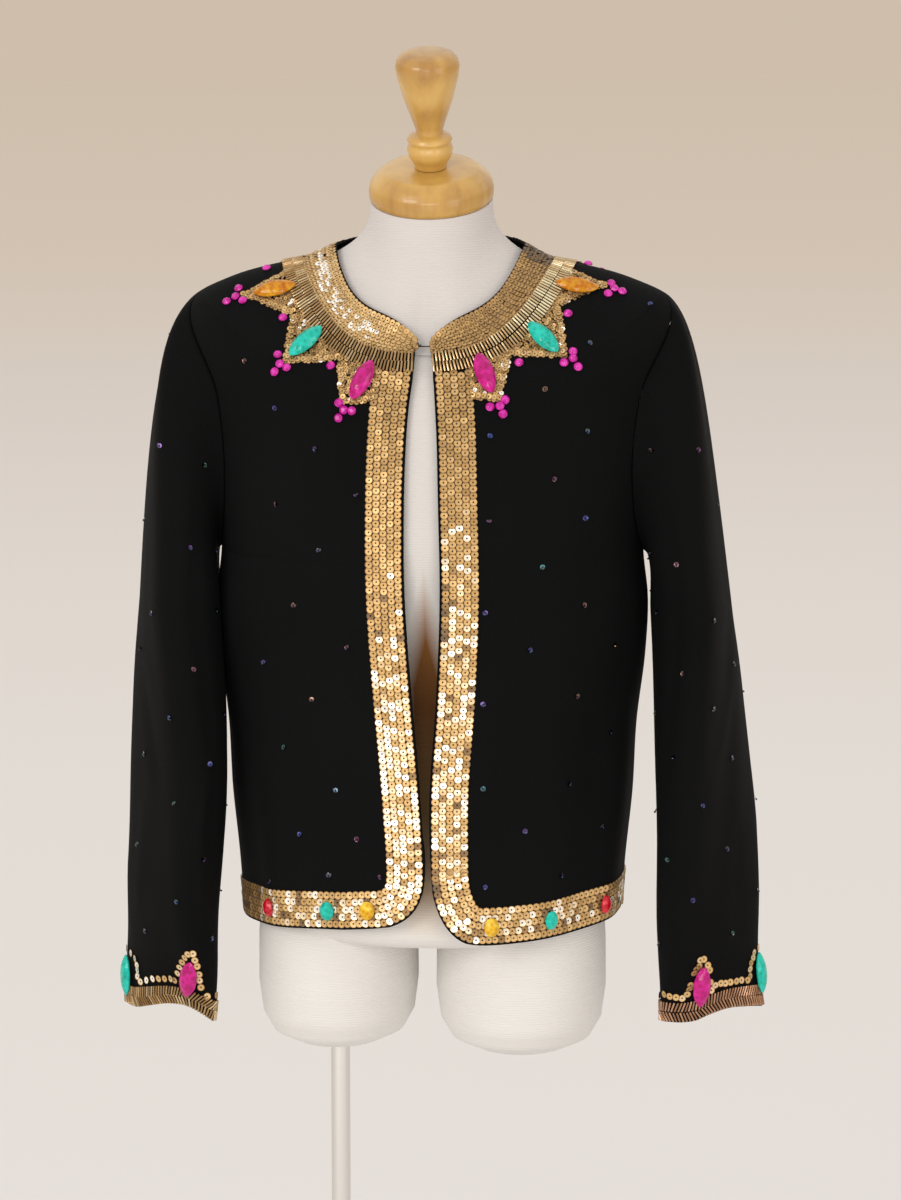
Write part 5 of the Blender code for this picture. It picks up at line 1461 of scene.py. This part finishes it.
def build_stars(edges, tree, finishes):
    """Star points filled with small cup sequins, with a border row of larger ones."""
    border = Spots()
    fill = Spots()
    for side, _ in SIDES:
        edge = edges[side]
        for star in edge.stars:
            tip = star_spot(edge, star, star.tip_out, star.tip_along, 0.0)
            outline = star_border(edge, star)
            inner = star_fill(edge, star, outline)
            places, normals = seated(tree, outline)
            border.add(places, tip - np.array(outline) + 1e-6, normals, BORDER_SEQUIN,
                       rng.uniform(0.42, 0.68, len(outline)))
            places, normals = seated(tree, inner)
            # A few painted silver white glints among the fill
            painted_glint = by_chance(inner, 0.05)
            fill.add(places, tip - np.array(inner), normals, FILL_SEQUIN,
                     np.where(painted_glint, 0.97, rng.uniform(0.25, 0.60, len(inner))))
    scatter("sequins_star_border", cup_sequin(), border, finishes["gold"], "sequin", tilt=0.10, jitter=0.08,
            spin=0.3, lift=SEQUIN_LIFT + 0.0003, rim_shade=SEQUIN_RIM_SHADE)
    scatter("sequins_star_fill", cup_sequin(8), fill, finishes["gold"], "sequin", jitter=0.22, spin=0.4,
            lift=SEQUIN_LIFT + 0.0001, rim_shade=SEQUIN_RIM_SHADE)


# Stones

def node_frame(name, tree):
    """The middle of a stone's back, its long axis and its normal, from the solid's corners."""
    corners = np.array([vert.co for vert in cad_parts[name].data.vertices])
    middle = corners.mean(axis=0)
    x, _, z = np.linalg.svd(corners - middle, full_matrices=False)[2]
    z = z * np.sign(np.dot(z, np.array(tree.find_nearest(Vector(middle))[1])))
    y = np.cross(z, x)
    along, across, up = ((corners - middle) @ axis for axis in (x, y, z))
    back = middle + x * (along.max() + along.min()) / 2 + y * (across.max() + across.min()) / 2 + z * up.min()
    return back, x, z


def stone_groups():
    """The stones' nodes by colour and kind, each with its sleeve's side, or 0 on the body."""
    rows = []
    for side, word in SIDES:
        rows.append(("yoke_gem_" + word, YOKE_COLOURS, "long", 0))
        rows.append(("cuff_gem_" + word, CUFF_COLOURS, "long", side))
    rows += [("hem_gem_" + word, HEM_COLOURS, "small", 0) for word in ("front", "back")]
    groups = {}
    for name, colours, kind, side in rows:
        for number, colour in enumerate(colours, 1):
            groups.setdefault((colour, kind), []).append((f"{name}_{number}", side))
    return groups


def build_stones(trees, finishes):
    """Faceted stones in the places of the frame's stones, joined by colour."""
    shapes = {kind: long_stone(*sizes) for kind, sizes in STONE_SHAPES.items()}
    for (colour, kind), members in stone_groups().items():
        spots = Spots()
        for name, side in members:
            back, x, z = node_frame(name, trees[side])
            spots.add([back], [x], [z], 1.0)
        scatter(f"stones_{colour}_{kind}", shapes[kind], spots, finishes[colour], "gem_" + colour,
                [name for name, _ in members])


def build_pink_stones(tree, finishes):
    """Small pink stones where the photograph shows them, and mirrored ones on the back."""
    spots = Spots()
    places, normals = shown_places(PINK_SPOTS, tree)
    spots.add(places, np.tile([0.0, 0.0, 1.0], (len(places), 1)), normals, PINK_STONE)
    places, normals = seated(tree, places * [1.0, -1.0, 1.0] + [0.0, 0.0, BACK_STONE_RISE])
    far = places[:, 1] > 0.02
    spots.add(places[far], np.tile([0.0, 0.0, 1.0], (int(far.sum()), 1)), normals[far], PINK_STONE)
    scatter("stones_pink", round_stone(), spots, finishes["pink"], "gem_magenta", jitter=0.06, spin=3.0,
            lift=PINK_LIFT)


def build_scattered(trees, finishes):
    """Small dark sequins, each held by a bead, over the body and sleeves."""
    spots = Spots()
    down = [(0.0, 0.0, -1.0)]
    places, normals = shown_places(BODY_SPOTS, trees[0])
    spots.add(places, down * len(places), normals, LOOSE_SEQUIN, rng.random(len(places)))
    rows, columns, lowest, pitch = BACK_SCATTER
    for row in range(rows):
        for column in range(columns):
            part = (column + 0.5 * (row % 2)) / (columns - 0.5)
            theta = math.pi + BACK_SCATTER_WIDTH * (part - 0.5) + rng.uniform(-0.06, 0.06)
            level = lowest + pitch * row + rng.uniform(-0.008, 0.008)
            spots.add([body_points(theta, level)], down, [body_normals(theta, level)], LOOSE_SEQUIN,
                      rng.random())
    rows, columns, lowest, pitch = SLEEVE_SCATTER
    for side, _ in SIDES:
        for row in range(rows):
            for column in range(columns):
                angle = 360 / columns * (column + 0.5 * (row % 2)) + rng.uniform(-9, 9)
                z = lowest + pitch * row + rng.uniform(-0.006, 0.006)
                if z > SLEEVE_TOP_RING:
                    t = max(0.1, 1 - (z - SLEEVE_TOP_RING) / SLEEVE_CAP_HEIGHT)
                    place = sleeve_cap(side, np.array([angle]), t)[0]
                else:
                    place = sleeve_points(side, angle, z)
                places, normals = seated(trees[side], [place])
                spots.add(places, down, normals, LOOSE_SEQUIN, rng.random())
    scatter("sequins_scattered", cup_sequin(8), spots, finishes["dark"], "sequin", tilt=0.15, jitter=0.25,
            spin=0.5, lift=LOOSE_LIFT)
    beads = Spots()
    places, alongs, normals, _, shades = spots.joined()
    beads.add(places + unit(alongs) * LOOSE_LIFT, alongs, normals, LOOSE_BEAD, (shades + 0.37) % 1.0)
    scatter("beads_scattered", bead(), beads, finishes["dark"], "sequin", lift=2 * LOOSE_LIFT)


# Cuffs

def cuff_line(side):
    """The sequin line above a cuff's beads, as angle and height above the cuff's edge."""
    fine = np.linspace(-180, 180, 361)
    lengths = run_lengths(sleeve_points(side, fine, CUFF_EDGE[side] + 0.02))
    knots = [(0.0, CUFF_LINE_HEIGHT)]
    for angle in sorted(CUFF_STONE_ANGLES[side]):
        middle = np.interp(angle, fine, lengths)
        knots += [(middle + along, CUFF_LINE_HEIGHT + up) for along, up in CUFF_CLIMB]
    knots = np.array(knots + [(lengths[-1], CUFF_LINE_HEIGHT)])
    knots = knots[(knots[:, 0] >= 0) & (knots[:, 0] <= lengths[-1])]
    dense = np.array([low + (high - low) * part for low, high in zip(knots, knots[1:])
                      for part in np.linspace(0, 1, 12)[:-1]])
    return np.interp(dense[:, 0], lengths, fine), dense[:, 1]


def build_cuffs(trees, finishes):
    """Two slanted rows of tube beads round each cuff, and a line of sequins above them."""
    for side, word in SIDES:
        tree = trees[side]
        spots = Spots()
        for height, lean in CUFF_ROWS:
            line = sleeve_points(side, np.linspace(-180, 180, 721), CUFF_EDGE[side] + height)
            even = resampled(line, BUGLE_PITCH)[0][:-1]
            places, normals = seated(tree, even)
            around = unit(np.gradient(even, axis=0)) * -side
            up = np.cross(normals, around)
            up = np.where(up[:, 2:] < 0, -up, up)
            shades = rng.uniform(0.15, 0.7, len(even))
            spots.add(places, up - around * lean, normals, BUGLE_LENGTH / 2, shades)
        scatter("bugles_cuff_" + word, bugle(), spots, finishes["bronze" if side < 0 else "copper"], "bugle",
                ["cuff_band_" + word], jitter=0.03, smooth=True, lift=BUGLE_LIFT + BUGLE_RADIUS)
        spots = Spots()
        middle = Vector((side * SLEEVES[side][0].x, 0.0, CUFF_EDGE[side]))
        places, normals = shown_places(CUFF_SPOTS[side], tree, middle)
        shades = rng.uniform(0.50, 0.75, len(places))
        # Painted glints: the cuff sequins on the left cuff's outer side turn silver white
        shades = np.where(places[:, 0] < CUFF_PAINTED_GLINT_END, rng.uniform(0.85, 1.0, len(places)), shades)
        spots.add(places, np.gradient(places, axis=0), normals, CUFF_SEQUIN, shades)
        angles, heights = cuff_line(side)
        even, _ = resampled(sleeve_points(side, angles, CUFF_EDGE[side] + heights), CUFF_PITCH)
        places, normals = seated(tree, even)
        hidden = np.sum(normals * unit(np.array(CAMERA_PLACE) - places), axis=1) < -0.05
        spots.add(places[hidden], np.gradient(places, axis=0)[hidden], normals[hidden], CUFF_SEQUIN,
                  rng.uniform(0.45, 0.75, int(hidden.sum())))
        scatter("sequins_cuff_" + word, cup_sequin(), spots, finishes["gold"], "sequin", tilt=0.10,
                jitter=0.10, spin=0.3, lift=SEQUIN_LIFT, rim_shade=SEQUIN_RIM_SHADE)


# Dress form and stand

def form_points(theta, level):
    front, side, back = columns_at(FORM_INSETS, level)
    s = np.sin(theta) ** 2
    distance = side * s + np.where(np.cos(theta) > 0, front, back) * (1 - s)
    return body_points(theta, level, False) - body_normals(theta, level, False) * distance[..., None]


def closed_loft(name, rings, finish):
    """A closed solid through rings of points, from the lowest up."""
    count = len(rings[0])
    points = np.concatenate(list(rings) + [[np.mean(rings[0], axis=0)], [np.mean(rings[-1], axis=0)]])
    faces = grid_faces(len(rings), count, True).tolist()
    bottom = len(rings) * count
    last = bottom - count
    for i in range(count):
        j = (i + 1) % count
        faces += [[j, i, bottom], [last + i, last + j, bottom + 1]]
    return new_object(name, points, faces, finish)


def soften(mesh, sharp):
    """Smooth shading that leaves edges where the faces turn by more than some degrees."""
    mesh.shade_smooth()
    mesh.set_sharp_from_angle(angle=math.radians(sharp))


def oval(width, depth, turns, x=0.0, z=0.0):
    return np.stack([x + width * np.sin(turns), -depth * np.cos(turns), 0 * turns + z], axis=1)


def build_form(finish):
    turns = 2 * math.pi * np.arange(FORM_COLUMNS) / FORM_COLUMNS
    lowest = form_points(turns, FORM_LEVELS[0])
    rings = [lowest * [scale, scale, 0.0] + [0.0, 0.0, z] for z, scale in PELVIS]
    rings += [form_points(turns, level) for level in finer(FORM_LEVELS, 3)]
    tilt = np.array(Matrix.Rotation(PLATE_TILT, 3, "X"))
    plate = oval(PLATE_RADIUS, PLATE_RADIUS, turns) @ tilt.T + np.array(PLATE_CENTRE)
    collar = rings[-1]
    for step in NECK_STEPS:
        draw = 1 - (1 - step) ** 3
        rings.append(collar + (plate - collar) * [draw, draw, step])
    form = closed_loft("form_body", rings, finish)
    legs = []
    for number, thigh in enumerate(THIGHS):
        levels, scales = zip(*THIGH_SECTIONS, (THIGH_TOP - thigh.bottom, THIGH_TOP_SCALE))
        rings = []
        for height in finer(levels, 4):
            scale = np.interp(height, levels, scales)
            ring = oval(thigh.half_width * scale, THIGH_DEPTH * scale, turns, thigh.x, thigh.bottom + height)
            rings.append(ring)
        legs.append(closed_loft(f"thigh_{number}", rings, finish))
        join = form.modifiers.new("join", "BOOLEAN")
        join.operation = "UNION"
        join.solver = "EXACT"
        join.object = legs[-1]
    joined = bpy.data.meshes.new_from_object(form.evaluated_get(bpy.context.evaluated_depsgraph_get()))
    form.modifiers.clear()
    form.data = joined
    for leg in legs:
        bpy.data.objects.remove(leg)
    soften(joined, 48)
    place_piece(form, ["form"])


def turned_piece(name, profile, finish, node, place, tilt=0.0):
    """A turned solid from a profile of (radius, height), rising along its own z."""
    radii, heights = zip(*profile[1:-1])
    turns = 2 * math.pi * np.arange(72) / 72
    turn = np.array(Matrix.Rotation(tilt, 3, "X"))
    rings = []
    for step in finer(list(range(len(heights))), 3):
        radius = np.interp(step, range(len(radii)), radii)
        height = np.interp(step, range(len(heights)), heights)
        rings.append(circle(radius, turns, height) @ turn.T + np.array(place))
    thing = closed_loft(name, rings, finish)
    soften(thing.data, 50)
    place_piece(thing, [node])


def build_stand(finishes):
    axis = Vector((0.0, -math.sin(PLATE_TILT), math.cos(PLATE_TILT)))
    for name, profile, node, gap in (("wood_cap", CAP_PROFILE, "neck_cap", GAP),
                                     ("wood_finial", FINIAL_PROFILE, "finial", 2 * GAP)):
        turned_piece(name, profile, finishes["wood"], node, PLATE_CENTRE + axis * gap, PLATE_TILT)
    bottom = FOOT_THICK + GAP
    top = THIGHS[0].bottom - GAP
    profile = [(radius, bottom + height) for radius, height in COLLAR_PROFILE]
    profile += [(POLE_RADIUS, top), (0.0, top)]
    turned_piece("chrome_pole", profile, finishes["chrome"], "pole", POLE_PLACE)
    turned_piece("steel_foot", FOOT_PROFILE, finishes["steel"], "base", (0.0, 0.0, 0.0))
    for name in ("hook", "eye"):
        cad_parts[name].data.materials.clear()
        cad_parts[name].data.materials.append(finishes["wire"])


def build_scene():
    build_camera()
    build_stage()
    build_light()
    finishes = build_materials()
    grids = build_cloth(finishes["knit"])
    tree = body_tree()
    trees = {0: tree, -1: grid_tree(grids[-1], True), 1: grid_tree(grids[1], True)}
    edges = {side: YokeEdge(side) for side, _ in SIDES}
    build_front_bands(tree, finishes)
    build_neck_sequins(tree, finishes)
    build_yoke_bugles(edges, finishes)
    build_stars(edges, tree, finishes)
    build_stones(trees, finishes)
    build_pink_stones(tree, finishes)
    build_scattered(trees, finishes)
    build_cuffs(trees, finishes)
    build_form(finishes["jersey"])
    build_stand(finishes)


build_scene()
